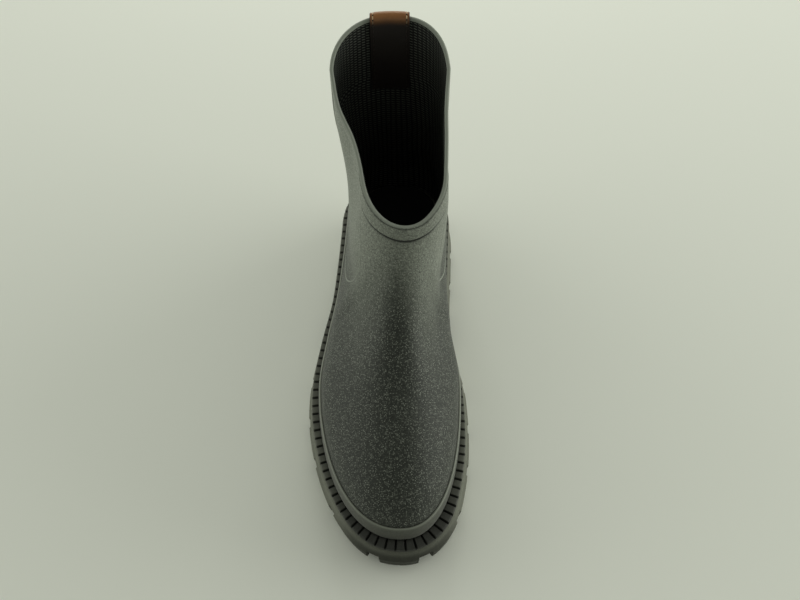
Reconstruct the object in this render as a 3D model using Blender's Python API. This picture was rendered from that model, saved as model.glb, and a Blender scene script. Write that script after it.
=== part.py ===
"""Right rubber ankle boot: moulded upper with slanted collar, lugged sole, ribbed welt, leather pull tab.

Sizes are in millimetres and become metres when a mesh is made. "Forward" runs from the back of the sole
to the toe, "across" is positive towards the inner side of the foot, and heights start at the floor. In the
finished part the toe points along -Y and the inner side lies along +X.
"""

from collections import namedtuple

import bmesh
import bpy
import numpy as np

MM = 0.001
GAP = 0.3
CREASE_ANGLE = 0.6

# Length, ball and heel of the last's lower edge, where upper and sole meet
HEEL_END = 6.0
HEEL_STATION = 42.0
BALL_STATION = 166.0
TOE_END = 276.0
TOE_ROUND = {"lateral": 2.15, "medial": 2.32}
HEEL_ROUND = {"lateral": 2.1, "medial": 2.7}
TOE_SHIFT = 4.0
AHEAD, BEHIND = 277.0, -20.0
HALVINGS = 60
OUTLINE_POINTS = 1440

Edge = namedtuple("Edge", "forward lateral medial lateral_swell medial_swell")
EDGE = (
    Edge(42, 32.4, 36.2, -1.0, 1.2),
    Edge(75, 35.5, 34.4, -1.0, 1.8),
    Edge(105, 39.4, 32.6, -0.8, 3.4),
    Edge(135, 46.1, 34.2, -1.4, 3.6),
    Edge(166, 50.9, 40.1, 0.2, 2.4),
    Edge(190, 51.7, 40.8, 0.8, 1.5),
)

# Top of the outsole: high heel seat, low ball, toe lifted again
Seat = namedtuple("Seat", "forward height")
SEAT = (
    Seat(-6, 38.5),
    Seat(45, 37.5),
    Seat(90, 33.0),
    Seat(130, 27.0),
    Seat(165, 24.0),
    Seat(200, 23.2),
    Seat(240, 24.2),
    Seat(292, 28.0),
)

# Ridge of the upper from the toe over the instep and up the front of the shaft, far out of reach behind it
Ridge = namedtuple("Ridge", "forward height")
RIDGE = (
    Ridge(97, 3000),
    Ridge(104, 366),
    Ridge(110, 237),
    Ridge(117, 178.8),
    Ridge(120, 163.3),
    Ridge(122, 155),
    Ridge(124.2, 147.2),
    Ridge(127.6, 138.3),
    Ridge(130, 133.5),
    Ridge(134, 126.5),
    Ridge(139, 119),
    Ridge(150, 105),
    Ridge(163, 94.5),
    Ridge(178, 86.0),
    Ridge(195, 79.5),
    Ridge(215, 75.5),
    Ridge(235, 74.0),
    Ridge(280, 74.0),
)
RIDGE_DATUM = 10.0

# Back of the boot: heel swell, hollow above it, upright shaft
Back = namedtuple("Back", "height forward")
BACK = (
    Back(20, 7.5),
    Back(42, 5.5),
    Back(62, 3.0),
    Back(90, 5.0),
    Back(125, 8.5),
    Back(165, 8.0),
    Back(210, 5.5),
)

# Half-widths of the shaft at the ankle and at the collar
Shaft = namedtuple("Shaft", "forward ankle_lateral ankle_medial collar_lateral collar_medial")
SHAFT = (
    Shaft(38, 30.0, 34.0, 39.0, 34.8),
    Shaft(60, 31.2, 36.0, 36.0, 31.4),
    Shaft(77, 31.4, 35.4, 29.0, 30.0),
    Shaft(98, 30.6, 32.2, 25.0, 27.6),
    Shaft(118, 29.4, 29.6, 24.0, 24.0),
)
FOOT_TOP = 44.0
ANKLE_HEIGHT = 92.0
COLLAR_HEIGHT = 165.0
SHAFT_TWIST = 0.06
TWIST_PIVOT = 10.0
TWIST_START = 70.0
TWIST_FULL = 150.0

# Roundness of a cross-section: high powers give upright walls and a full top
TOE_WALL, TOE_CROWN = 2.5, 1.95
INSTEP_WALL, INSTEP_CROWN = 2.1, 2.1
THROAT_CROWN = 3.0
THROAT_STATION, INSTEP_STATION, VAMP_STATION = 126.0, 140.0, 190.0
SWELL_HEIGHT = 44.0

# Sections of the upper: rise above the outsole at the heel end and the toe end, and steps to the next one
Section = namedtuple("Section", "name heel_rise toe_rise steps")
SECTIONS = (
    Section("lower edge", 0.3, 0.3, 1),
    Section("welt line", 4.2, 4.2, 1),
    Section("foxing line", 12.5, 12.5, 2),
    Section("toe", 26.0, 21.0, 3),
    Section("vamp", 48.0, 30.0, 5),
    Section("instep", 82.0, 42.0, 4),
    Section("ankle", 118.0, 53.0, 3),
    Section("band line", 122.0, 97.8, 0),
    Section("collar", 166.4, 58.2, 0),
)
BAND_RAISE = 0.7
BAND_SHARES = (0.0, 0.04, 0.33, 0.67, 1.0)
WALL = 2.8
RIM_CROWN = 0.7
AROUND = 64
INNER_EVERY = 2

# Low rubber band round the foot of the upper
FOXING_THICK, FOXING_TOP_THICK = 1.3, 0.7
FOXING_ROWS = 4

# Sunk gore panel on each side of the shaft: its front edge leans forward as it runs down
GORE_LOW, GORE_CORNER_TOP = 68.0, 103.0
GORE_FRONT_HIGH, GORE_FRONT_LOW = 98.0, 125.0
GORE_BACK = 44.0
GORE_BELOW_RIM = 4.0
GORE_DEPTH = 0.8
GORE_CORNER = 2.5
GORE_FIRST_ROW, GORE_ROW_SPREAD = 0.02, 1.5
GORE_COLUMNS, GORE_ROWS = 9, 10
GORE_CUTTER_REACH = 3.0
NORMAL_STEP = 0.5

# Ribbed welt strip
WELT_HEIGHT = 3.8
WELT_CLEAR = 0.4
WELT_DROP = 0.6
RIB_PITCH = 5.9
RIB_GROOVE_HALF = 0.75
RIB_GROOVE_DEPTH = 1.5

# Ledge of welt and sole beyond the last's edge
Margin = namedtuple("Margin", "forward lateral medial")
MARGIN = (
    Margin(10, 4.6, 4.6),
    Margin(42, 4.8, 4.4),
    Margin(105, 4.8, 3.8),
    Margin(166, 6.0, 3.6),
    Margin(190, 6.4, 4.6),
    Margin(215, 6.0, 5.8),
    Margin(240, 5.6, 6.8),
    Margin(262, 6.2, 8.2),
    Margin(276, 7.4, 7.6),
)

# Outsole side, from its top edge to the floor
Side = namedtuple("Side", "flare height")
SIDE_TOP_BEVEL = Side(0.7, 1.2)
SIDE_SHOULDER = Side(2.6, 14.5)
SIDE_WIDEST = Side(3.2, 11.0)
SIDE_FLOOR = Side(1.8, 0.0)
SOLE_AROUND = 104
TOE_SPRING, TOE_SPRING_START = 5.5, 232.0
HEEL_BEVEL, HEEL_BEVEL_START = 2.5, 16.0
SOLE_REACH = 12.0

# Tread: chevron grooves that open as wide slots between the side lugs, and the arch
Slot = namedtuple("Slot", "lateral_share medial_share")
SLOTS = (
    Slot(0.045, 0.038),
    Slot(0.159, 0.126),
    Slot(0.264, 0.223),
    Slot(0.355, 0.317),
    Slot(0.446, 0.411),
    Slot(0.700, 0.690),
    Slot(0.790, 0.780),
    Slot(0.880, 0.875),
    Slot(0.965, 0.965),
)
SLOT_WIDTH, SLOT_OUTER_TOP = 8.0, 17.0
SLOT_LENGTH = 19.0
GROOVE_WIDTH, GROOVE_TOP = 5.0, 6.5
CHEVRON = 7.0
CUTTER_BELOW = 4.0
ARCH_BACK, ARCH_FRONT = 94.0, 131.0
ARCH_HEIGHT, ARCH_SLOPE = 10.0, 6.0
ARCH_HALF_WIDTH = 90.0

INSOLE_THICK = 4.0
INSOLE_CLEAR = 0.6

# Leather strap folded over the back of the collar
TAB_WIDTH, TAB_THICK = 24.5, 1.8
TAB_CENTRE = 0.2
TAB_HEIGHT = 200.0
TAB_INSIDE, TAB_OUTSIDE = 54.0, 46.0
TAB_CLEAR = 0.4
TAB_COLUMNS, TAB_LEG_ROWS, TAB_FOLD_ROWS = 7, 6, 7


def smooth(value):
    """Rises from 0 to 1 with level ends."""
    t = np.clip(value, 0.0, 1.0)
    return t * t * (3.0 - 2.0 * t)


def along(rows, column, at):
    """Smooth curve through one column of a table over its first column; level beyond the ends."""
    knots = np.array([row[0] for row in rows], float)
    values = np.array([getattr(row, column) for row in rows], float)
    return curve(knots, values, at)


def curve(knots, values, at):
    """Cubic Hermite curve through the values, with central-difference slopes."""
    slopes = np.gradient(values, knots)
    at = np.clip(at, knots[0], knots[-1])
    i = np.clip(np.searchsorted(knots, at, side="right") - 1, 0, len(knots) - 2)
    span = knots[i + 1] - knots[i]
    t = (at - knots[i]) / span
    start = values[i] * (1 + 2 * t) * (1 - t) ** 2 + slopes[i] * span * t * (1 - t) ** 2
    end = values[i + 1] * t * t * (3 - 2 * t) + slopes[i + 1] * span * t * t * (t - 1)
    return start + end


def seat(forward):
    return along(SEAT, "height", forward)


def ridge(forward):
    """Height of the ridge; its reciprocal is interpolated, so the column may run far upwards."""
    knots = np.array([row.forward for row in RIDGE], float)
    heights = np.array([row.height for row in RIDGE], float)
    return RIDGE_DATUM + 1.0 / curve(knots, 1.0 / (heights - RIDGE_DATUM), forward)


def back_line(height):
    return along(BACK, "forward", height)


def centre_line(forward, height):
    """Across-position of the foot's axis: it leans inwards at the toe, and the shaft is twisted."""
    twist = SHAFT_TWIST * smooth((height - TWIST_START) / (TWIST_FULL - TWIST_START))
    return TOE_SHIFT * forward / TOE_END + twist * (forward - TWIST_PIVOT)


def body_half_width(forward, height, side):
    """Half-width without its rounded ends: the last's edge low down, the shaft above the ankle."""
    foot = along(EDGE, side, forward)
    to_collar = smooth((height - ANKLE_HEIGHT) / (COLLAR_HEIGHT - ANKLE_HEIGHT))
    ankle, collar = along(SHAFT, "ankle_" + side, forward), along(SHAFT, "collar_" + side, forward)
    shaft = (1 - to_collar) * ankle + to_collar * collar
    to_shaft = smooth((height - FOOT_TOP) / (ANKLE_HEIGHT - FOOT_TOP))
    rise = np.clip((height - seat(forward) - WELT_HEIGHT) / SWELL_HEIGHT, 0.0, 1.0)
    swell = along(EDGE, side + "_swell", forward) * 4 * rise * (1 - rise)
    return (1 - to_shaft) * foot + to_shaft * shaft + swell


def crown_room(forward, height, side):
    """What the crowned top and the rounded toe leave of the half-width, as a power: zero on the ridge."""
    to_toe = smooth((forward - INSTEP_STATION) / (VAMP_STATION - INSTEP_STATION))
    wall = INSTEP_WALL + (TOE_WALL - INSTEP_WALL) * to_toe
    to_instep = smooth((forward - THROAT_STATION) / (INSTEP_STATION - THROAT_STATION))
    crown = THROAT_CROWN + (INSTEP_CROWN - THROAT_CROWN) * to_instep + (TOE_CROWN - INSTEP_CROWN) * to_toe
    base = seat(forward)
    share = np.clip((height - base) / (ridge(forward) - base), 0.0, None)
    room = np.clip(1 - share**crown, 0.0, None) ** (TOE_ROUND[side] / wall)
    toe = np.clip((forward - BALL_STATION) / (TOE_END - BALL_STATION), 0.0, None) ** TOE_ROUND[side]
    return room - toe


def heel_room(forward, height, side):
    """What the rounded heel leaves of the half-width, as a power: zero on the back line."""
    reach = HEEL_STATION - back_line(height)
    return 1 - np.clip((HEEL_STATION - forward) / reach, 0.0, None) ** HEEL_ROUND[side]


def half_width(forward, height, side):
    """Half-width of the upper's outer face at a place in the side view."""
    crown = np.clip(crown_room(forward, height, side), 0.0, None) ** (1 / TOE_ROUND[side])
    heel = np.clip(heel_room(forward, height, side), 0.0, None) ** (1 / HEEL_ROUND[side])
    return body_half_width(forward, height, side) * crown * heel


def root(function, inside, outside):
    """Place between the two where the function falls to zero, found by halving."""
    for _ in range(HALVINGS):
        middle = (inside + outside) / 2
        if function(middle) > 0:
            inside = middle
        else:
            outside = middle
    return inside


def section_height(forward, heel_rise, toe_rise):
    share = (forward - HEEL_END) / (TOE_END - HEEL_END)
    return seat(forward) + heel_rise + (toe_rise - heel_rise) * share


def section_ring(heel_rise, toe_rise, count=AROUND):
    """Closed loop of the outer face in one slanted section: toe, lateral side, heel, medial side."""
    def height(forward):
        return section_height(forward, heel_rise, toe_rise)

    front = root(lambda s: crown_room(s, height(s), "medial"), HEEL_STATION, AHEAD)
    back = root(lambda s: heel_room(s, height(s), "medial"), HEEL_STATION, BEHIND)
    turn = np.linspace(0.0, np.pi, count // 2 + 1)
    forward = back + (front - back) * (1 + np.cos(turn)) / 2
    level = height(forward)
    centre = centre_line(forward, level)
    lateral = np.stack([centre - half_width(forward, level, "lateral"), forward, level], axis=1)
    medial = np.stack([centre + half_width(forward, level, "medial"), forward, level], axis=1)
    lateral[[0, -1], 0] = centre[[0, -1]]
    return np.concatenate([lateral, medial[-2:0:-1]])


def outward(rings):
    """Unit normals of a stack of closed loops that runs upwards."""
    around = np.roll(rings, -1, axis=1) - np.roll(rings, 1, axis=1)
    up = np.gradient(rings, axis=0)
    normal = np.cross(around, up)
    return normal / np.linalg.norm(normal, axis=2, keepdims=True)


def between(low, high, share):
    """Heel and toe rise at a share of the way from one section to another."""
    heel = low.heel_rise + (high.heel_rise - low.heel_rise) * share
    return heel, low.toe_rise + (high.toe_rise - low.toe_rise) * share


def upper_rises():
    """Heel and toe rise of every ring of the upper, and whether it lies on the collar band."""
    rises = []
    for low, high in zip(SECTIONS[:-2], SECTIONS[1:-1]):
        for step in range(low.steps):
            rises.append((*between(low, high, step / low.steps), False))
    for share in BAND_SHARES:
        rises.append((*between(*SECTIONS[-2:], share), share > 0))
    return rises


def upper_rings():
    """Outer loops with the band raised at the collar's front, the crowned rim, the inner loops back down."""
    rises = upper_rises()
    base = np.array([section_ring(heel, toe) for heel, toe, _ in rises])
    normals = outward(base)
    on_band = np.array([row[2] for row in rises])[:, None]
    in_front = base[..., 1] > GORE_FRONT_HIGH
    outer = base + normals * (BAND_RAISE * (on_band & in_front))[..., None]
    inner = base - normals * WALL
    keep = sorted({0, 1, len(rises) - 1} | set(range(2, len(rises) - 2, INNER_EVERY)))
    rim = (outer[-1] + inner[-1]) / 2 + np.array([0.0, 0.0, RIM_CROWN])
    return np.concatenate([outer, rim[None], inner[keep[::-1]]])


def foxing_rings():
    """Strip that hugs the foot of the upper, from the welt to the foxing line, with a rounded top edge."""
    low, high = SECTIONS[1], SECTIONS[2]
    shares = np.linspace(0.0, 1.0, FOXING_ROWS)
    heel = low.heel_rise + GAP + (high.heel_rise - low.heel_rise) * shares
    toe = low.toe_rise + GAP + (high.toe_rise - low.toe_rise) * shares
    base = np.array([section_ring(h, t) for h, t in zip(heel, toe)])
    normals = outward(base)
    thick = np.full(FOXING_ROWS, FOXING_THICK)
    thick[-1] = FOXING_TOP_THICK
    face = base + normals * (GAP + thick)[:, None, None]
    lining = base + normals * GAP
    return np.concatenate([face, lining[::-1]])


def edge_outline(count):
    """Dense loop of the last's lower edge and its outward normals in plan."""
    loop = section_ring(0.0, 0.0, count)[:, :2]
    tangent = np.roll(loop, -1, axis=0) - np.roll(loop, 1, axis=0)
    normal = np.stack([tangent[:, 1], -tangent[:, 0]], axis=1)
    normal *= np.sign(normal[0, 1])
    return loop, normal / np.linalg.norm(normal, axis=1, keepdims=True)


def welt_margin(plan):
    """Width of the ledge beyond the last's edge at plan points: each side of the foot has its own."""
    across, forward = plan.T
    lateral = across < centre_line(forward, 0.0)
    return np.where(lateral, along(MARGIN, "lateral", forward), along(MARGIN, "medial", forward))


def lifted(plan, height):
    """Plan points raised to a height that follows the outsole's top."""
    return np.column_stack([plan, seat(plan[:, 1]) + height])


def welt_rings():
    """Loops of the ribbed strip: inner foot, inner top, outer top, outer foot, a groove at every pitch."""
    loop, normal = edge_outline(OUTLINE_POINTS)
    margin = welt_margin(loop)[:, None]
    middle = loop + normal * margin / 2
    steps = np.linalg.norm(np.roll(middle, -1, axis=0) - middle, axis=1)
    travel = np.concatenate([[0.0], np.cumsum(steps)])
    ribs = int(round(travel[-1] / RIB_PITCH))
    pitch = travel[-1] / ribs
    across_groove = np.array([-RIB_GROOVE_HALF, 0.0, RIB_GROOVE_HALF])
    places = (np.arange(ribs)[:, None] + 0.5) * pitch + across_groove
    wrapped = np.concatenate([np.arange(len(loop)), [0]])
    columns = (*loop.T, *normal.T, margin[:, 0])
    at = [np.interp(places.ravel(), travel, values[wrapped]) for values in columns]
    edge = np.column_stack(at[:2])
    out = np.column_stack(at[2:4])
    inner = edge + out * WELT_CLEAR
    outer = edge + out * at[4][:, None]
    groove = np.tile([0.0, RIB_GROOVE_DEPTH, 0.0], ribs)
    return np.array([
        lifted(inner, GAP),
        lifted(inner, WELT_HEIGHT - groove),
        lifted(outer, WELT_HEIGHT - WELT_DROP - groove),
        lifted(outer, GAP),
    ])


def tread_level(forward):
    """Height of the lugs' lower faces: flat under heel and ball, lifted at toe and heel ends."""
    toe = np.clip((forward - TOE_SPRING_START) / (TOE_END + SOLE_REACH - TOE_SPRING_START), 0.0, None)
    heel = np.clip((HEEL_BEVEL_START - forward) / (HEEL_BEVEL_START + SOLE_REACH), 0.0, None)
    return TOE_SPRING * toe**2 + HEEL_BEVEL * heel**2


def sole_rings():
    """Loops of the outsole's side from the floor to its top edge: lugs lean out, the shoulder leans in."""
    loop, normal = edge_outline(SOLE_AROUND)
    margin = welt_margin(loop)[:, None]

    def spread(flare):
        return loop + normal * (margin + flare)

    rings = []
    for row in (SIDE_FLOOR, SIDE_WIDEST, SIDE_SHOULDER):
        plan = spread(row.flare)
        rings.append(np.column_stack([plan, tread_level(plan[:, 1]) + row.height]))
    rings.append(lifted(spread(SIDE_TOP_BEVEL.flare), -SIDE_TOP_BEVEL.height))
    rings.append(lifted(spread(0.0), 0.0))
    return np.array(rings)


def insole_rings():
    loop, normal = edge_outline(AROUND)
    plan = loop - normal * (WALL + INSOLE_CLEAR)
    return np.array([lifted(plan, GAP), lifted(plan, GAP + INSOLE_THICK)])


def tab_surface(across, height, offset):
    """Back of the shaft at an across-position and height, moved backwards by an offset."""
    back = back_line(height)
    beside = across - centre_line(back, height)
    station = np.full_like(height, HEEL_STATION)
    forward = np.empty_like(height)
    for side, chosen in (("lateral", beside < 0), ("medial", beside >= 0)):
        share = np.clip(np.abs(beside) / body_half_width(station, height, side), 0.0, 1.0)
        round_back = (1 - share**HEEL_ROUND[side]) ** (1 / HEEL_ROUND[side])
        forward[chosen] = (HEEL_STATION - (HEEL_STATION - back) * round_back)[chosen]
    return np.stack([across, forward - offset, height], axis=-1)


def tab_grid(lift):
    """Strap face at a distance outside its inner face: down the outside, over the rim, down the inside."""
    rim = section_height(back_line(TAB_HEIGHT), SECTIONS[-1].heel_rise, SECTIONS[-1].toe_rise)
    radius = WALL / 2 + TAB_CLEAR
    middle = -WALL / 2
    turn = np.linspace(0.0, np.pi, TAB_FOLD_ROWS)
    outside = np.linspace(-TAB_OUTSIDE, 0.0, TAB_LEG_ROWS)[:-1]
    inside = np.linspace(0.0, -TAB_INSIDE, TAB_LEG_ROWS)[1:]
    reach = radius + lift
    height = rim + np.concatenate([outside, reach * np.sin(turn), inside])
    offset = middle + np.concatenate([outside * 0 + reach, reach * np.cos(turn), inside * 0 - reach])
    across = TAB_CENTRE + np.linspace(-TAB_WIDTH / 2, TAB_WIDTH / 2, TAB_COLUMNS)
    shape = (len(height), TAB_COLUMNS)
    wall_height = np.minimum(height, rim)
    grid = tab_surface(*np.broadcast_arrays(across[None, :], wall_height[:, None], offset[:, None]))
    grid[..., 2] += np.broadcast_to((height - wall_height)[:, None], shape)
    return grid


def gore_grid(side, offset):
    """Patch of the shaft's side inside the gore's outline, moved outwards by an offset."""
    rows = np.linspace(0.0, 1.0, GORE_ROWS)[:, None] ** GORE_ROW_SPREAD
    share = GORE_FIRST_ROW + (1 - GORE_FIRST_ROW) * rows
    place = np.linspace(-1.0, 1.0, GORE_COLUMNS)[None, :]

    def rim(forward):
        collar = SECTIONS[-1]
        return section_height(forward, collar.heel_rise, collar.toe_rise) - GORE_BELOW_RIM

    level = GORE_LOW + (rim(GORE_FRONT_HIGH) - GORE_LOW) * share
    lean = [GORE_CORNER_TOP, rim(GORE_FRONT_HIGH)]
    front = np.interp(level, lean, [GORE_FRONT_LOW, GORE_FRONT_HIGH])
    below = np.clip((GORE_CORNER_TOP - level) / (GORE_CORNER_TOP - GORE_LOW), 0.0, 1.0)
    rounding = (1 - below**GORE_CORNER) ** (1 / GORE_CORNER)
    forward = (front + GORE_BACK) / 2 + (front - GORE_BACK) / 2 * rounding * place
    height = GORE_LOW + (rim(forward) - GORE_LOW) * share
    sign = -1.0 if side == "lateral" else 1.0

    def face(s, z):
        return np.stack([centre_line(s, z) + sign * half_width(s, z, side), s, z], axis=-1)

    along_foot = face(forward + NORMAL_STEP, height) - face(forward - NORMAL_STEP, height)
    upwards = face(forward, height + NORMAL_STEP) - face(forward, height - NORMAL_STEP)
    normal = sign * np.cross(along_foot, upwards)
    normal /= np.linalg.norm(normal, axis=-1, keepdims=True)
    return face(forward, height) + normal * offset


def groove_path(slot):
    """Stations of one chevron groove, lateral slot to medial slot: plan place, width, top height.

    A slot's share counts along the outline from the toe to the heel.
    """
    loop, normal = edge_outline(OUTLINE_POINTS)
    half = len(loop) // 2
    sides = []
    for walk, share in ((np.arange(half + 1), slot.lateral_share), (-np.arange(half + 1), slot.medial_share)):
        points = loop[walk]
        travel = np.concatenate([[0.0], np.cumsum(np.linalg.norm(np.diff(points, axis=0), axis=1))])
        index = walk[np.searchsorted(travel, travel[-1] * share)]
        rim = loop[index] + normal[index] * (welt_margin(loop[index]) + SIDE_WIDEST.flare)
        sides.append((rim + normal[index] * SOLE_REACH, rim - normal[index] * SLOT_LENGTH))
    (lateral_out, lateral_in), (medial_out, medial_in) = sides
    middle = (lateral_in + medial_in) / 2 + np.array([0.0, CHEVRON])
    plan = np.array([lateral_out, lateral_in, middle, medial_in, medial_out])
    width = np.array([SLOT_WIDTH, GROOVE_WIDTH, GROOVE_WIDTH, GROOVE_WIDTH, SLOT_WIDTH])
    top = np.array([SLOT_OUTER_TOP, GROOVE_TOP, GROOVE_TOP, GROOVE_TOP, SLOT_OUTER_TOP])
    return plan, width, top + tread_level(plan[:, 1])


def groove_rings(slot):
    """Four-cornered sections of a groove cutter along its path, square to it in plan."""
    plan, width, top = groove_path(slot)
    run = np.gradient(plan, axis=0)
    square = np.stack([run[:, 1], -run[:, 0]], axis=1)
    square /= np.linalg.norm(square, axis=1, keepdims=True)
    one = plan + square * width[:, None] / 2
    other = plan - square * width[:, None] / 2
    low = np.full(len(plan), -CUTTER_BELOW)
    return np.stack([
        np.column_stack([one, low]),
        np.column_stack([other, low]),
        np.column_stack([other, top]),
        np.column_stack([one, top]),
    ], axis=1)


def arch_rings():
    profile = np.array([
        (ARCH_BACK, -CUTTER_BELOW),
        (ARCH_BACK + ARCH_SLOPE, ARCH_HEIGHT),
        (ARCH_FRONT - ARCH_SLOPE, ARCH_HEIGHT),
        (ARCH_FRONT, -CUTTER_BELOW),
    ])
    return np.array([
        np.column_stack([np.full(len(profile), across), profile])
        for across in (-ARCH_HALF_WIDTH, ARCH_HALF_WIDTH)
    ])


def quads(rows, columns, wrap_rows, wrap_columns):
    """Corner numbers of the faces of a grid whose rows or columns may close on themselves."""
    i, j = np.indices((rows - (not wrap_rows), columns - (not wrap_columns)))
    down, right = (i + 1) % rows, (j + 1) % columns
    corners = [i * columns + j, i * columns + right, down * columns + right, down * columns + j]
    return np.stack(corners, axis=-1).reshape(-1, 4).tolist()


def ladder(columns, first):
    """Faces that close a loop straight across, from its lateral half to its medial half."""
    half = columns // 2
    faces = [(0, 1, columns - 1), (half - 1, half, half + 1)]
    faces += [(j, j + 1, columns - j - 1, columns - j) for j in range(1, half - 1)]
    return [[first + corner for corner in face] for face in faces]


def middle_of_sole():
    """Plan centre of the outsole's widest loop, which becomes the part's origin."""
    plan = sole_rings()[..., :2].reshape(-1, 2)
    return (plan.min(axis=0) + plan.max(axis=0)) / 2


CENTRE = middle_of_sole()


def boot_mesh(name, vertices, faces):
    """Object from points in across, forward and height, turned so that the toe points along -Y."""
    points = np.asarray(vertices, float).reshape(-1, 3)
    placed = np.column_stack([points[:, 0] - CENTRE[0], CENTRE[1] - points[:, 1], points[:, 2]]) * MM
    mesh = bpy.data.meshes.new(name)
    mesh.from_pydata(placed.tolist(), [], faces)
    work = bmesh.new()
    work.from_mesh(mesh)
    bmesh.ops.recalc_face_normals(work, faces=work.faces)
    bmesh.ops.triangulate(work, faces=work.faces)
    work.to_mesh(mesh)
    work.free()
    mesh.shade_smooth()
    mesh.set_sharp_from_angle(angle=CREASE_ANGLE)
    made = bpy.data.objects.new(name, mesh)
    bpy.context.collection.objects.link(made)
    return made


def hoop(name, rings):
    """Closed strip round the boot: the section's own loop closes too."""
    rows, columns = rings.shape[:2]
    return boot_mesh(name, rings, quads(rows, columns, True, True))


def plate(name, rings):
    """Stack of loops closed straight across at the bottom and the top."""
    rows, columns = rings.shape[:2]
    faces = quads(rows, columns, False, True) + ladder(columns, 0) + ladder(columns, (rows - 1) * columns)
    return boot_mesh(name, rings, faces)


def bar(name, rings):
    """Stack of small loops closed by one face at each end."""
    rows, columns = rings.shape[:2]
    faces = quads(rows, columns, False, True)
    faces += [list(range(columns)), list(range((rows - 1) * columns, rows * columns))]
    return boot_mesh(name, rings, faces)


def sheet(name, front, back):
    """Thick sheet between two grids of the same size."""
    rows, columns = front.shape[:2]
    count = rows * columns
    edge = list(range(columns))
    edge += [i * columns + columns - 1 for i in range(1, rows)]
    edge += [(rows - 1) * columns + j for j in range(columns - 2, -1, -1)]
    edge += [i * columns for i in range(rows - 2, 0, -1)]
    face = quads(rows, columns, False, False)
    faces = face + [[corner + count for corner in quad] for quad in face]
    faces += [[a, b, b + count, a + count] for a, b in zip(edge, edge[1:] + edge[:1])]
    return boot_mesh(name, np.concatenate([front.reshape(-1, 3), back.reshape(-1, 3)]), faces)


def cutter(made):
    made.hide_render = True
    made.display_type = "WIRE"
    return made


def cut(target, tools):
    for tool in tools:
        boolean = target.modifiers.new(tool.name, "BOOLEAN")
        boolean.operation = "DIFFERENCE"
        boolean.solver = "EXACT"
        boolean.object = cutter(tool)


def finish(made, material_name, colour, roughness):
    material = bpy.data.materials.new(material_name)
    material.use_nodes = True
    shader = material.node_tree.nodes["Principled BSDF"]
    shader.inputs["Base Color"].default_value = (*colour, 1.0)
    shader.inputs["Roughness"].default_value = roughness
    shader.inputs["Metallic"].default_value = 0.0
    made.data.materials.append(material)


for old in list(bpy.data.objects):
    bpy.data.objects.remove(old, do_unlink=True)

outsole = plate("outsole", sole_rings())
grooves = [bar(f"groove_cutter_{number}", groove_rings(slot)) for number, slot in enumerate(SLOTS)]
cut(outsole, [bar("arch_cutter", arch_rings()), *grooves])
finish(outsole, "moulded grey rubber sole", (0.24, 0.245, 0.22), 0.62)

welt = hoop("welt", welt_rings())
finish(welt, "dark grey rubber welt", (0.11, 0.112, 0.1), 0.7)

upper = hoop("upper", upper_rings())
cut(upper, [
    sheet(f"gore_cutter_{side}", gore_grid(side, GORE_CUTTER_REACH), gore_grid(side, -GORE_DEPTH))
    for side in ("lateral", "medial")
])
finish(upper, "matt grey rubber upper", (0.16, 0.165, 0.155), 0.75)

foxing = hoop("foxing", foxing_rings())
finish(foxing, "smooth grey rubber foxing", (0.2, 0.205, 0.185), 0.6)

insole = plate("insole", insole_rings())
finish(insole, "black textile footbed", (0.02, 0.02, 0.02), 0.95)

pull_tab = sheet("pull_tab", tab_grid(TAB_THICK), tab_grid(0.0))
finish(pull_tab, "tan leather", (0.35, 0.14, 0.05), 0.55)
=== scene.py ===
"""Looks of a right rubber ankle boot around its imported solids: flecked upper with a knit lining, rubber band,
ribbed welt, lugged sole, footbed and stitched leather pull tab. Forms are worked out in millimetres, as
across (inner side positive), forward (heel to toe) and height, and become metres when a mesh is made."""

import bmesh
import bpy
import numpy as np
from mathutils import Matrix, Vector


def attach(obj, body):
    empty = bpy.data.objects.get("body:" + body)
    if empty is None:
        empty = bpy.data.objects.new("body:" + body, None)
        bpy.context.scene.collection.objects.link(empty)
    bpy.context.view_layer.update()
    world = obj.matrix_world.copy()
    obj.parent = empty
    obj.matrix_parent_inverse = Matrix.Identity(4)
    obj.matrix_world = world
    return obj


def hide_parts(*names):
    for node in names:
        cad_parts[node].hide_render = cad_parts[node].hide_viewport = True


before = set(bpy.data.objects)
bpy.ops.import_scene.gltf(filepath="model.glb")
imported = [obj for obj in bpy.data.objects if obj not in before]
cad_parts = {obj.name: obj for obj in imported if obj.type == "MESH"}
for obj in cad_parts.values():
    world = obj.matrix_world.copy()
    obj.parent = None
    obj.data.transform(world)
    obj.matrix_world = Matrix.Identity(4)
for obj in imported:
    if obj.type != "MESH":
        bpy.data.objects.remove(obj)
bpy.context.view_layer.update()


# Upper
# One piece of grey rubber, moulded over a last: rounded toe, steep instep and a shaft with a slanted collar.
# A low band runs round the front of the collar, and a sunk gore panel lies on each side of the shaft.
METRES = 0.001
MIDDLE_OF_SOLE = (-3.632, 142.438)
HEEL_END, TOE_END = 6.0, 276.0
HEEL_STATION, THROAT_STATION, INSTEP_STATION = 42.0, 126.0, 140.0
BALL_STATION, VAMP_STATION = 166.0, 190.0
TOE_ROUND = {"lateral": 2.15, "medial": 2.32}
HEEL_ROUND = {"lateral": 2.1, "medial": 2.7}
TOE_SHIFT = 4.0
SHAFT_TWIST, TWIST_PIVOT, TWIST_START, TWIST_RISE = 0.06, 10.0, 70.0, 80.0
EDGE = {
    "forward": (42, 75, 105, 135, 166, 190),
    "lateral": (32.4, 35.5, 39.4, 46.1, 50.9, 51.7),
    "medial": (36.2, 34.4, 32.6, 34.2, 40.1, 40.8),
    "lateral_swell": (-1.0, -1.0, -0.8, -1.4, 0.2, 0.8),
    "medial_swell": (1.2, 1.8, 3.4, 3.6, 2.4, 1.5),
}
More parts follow.
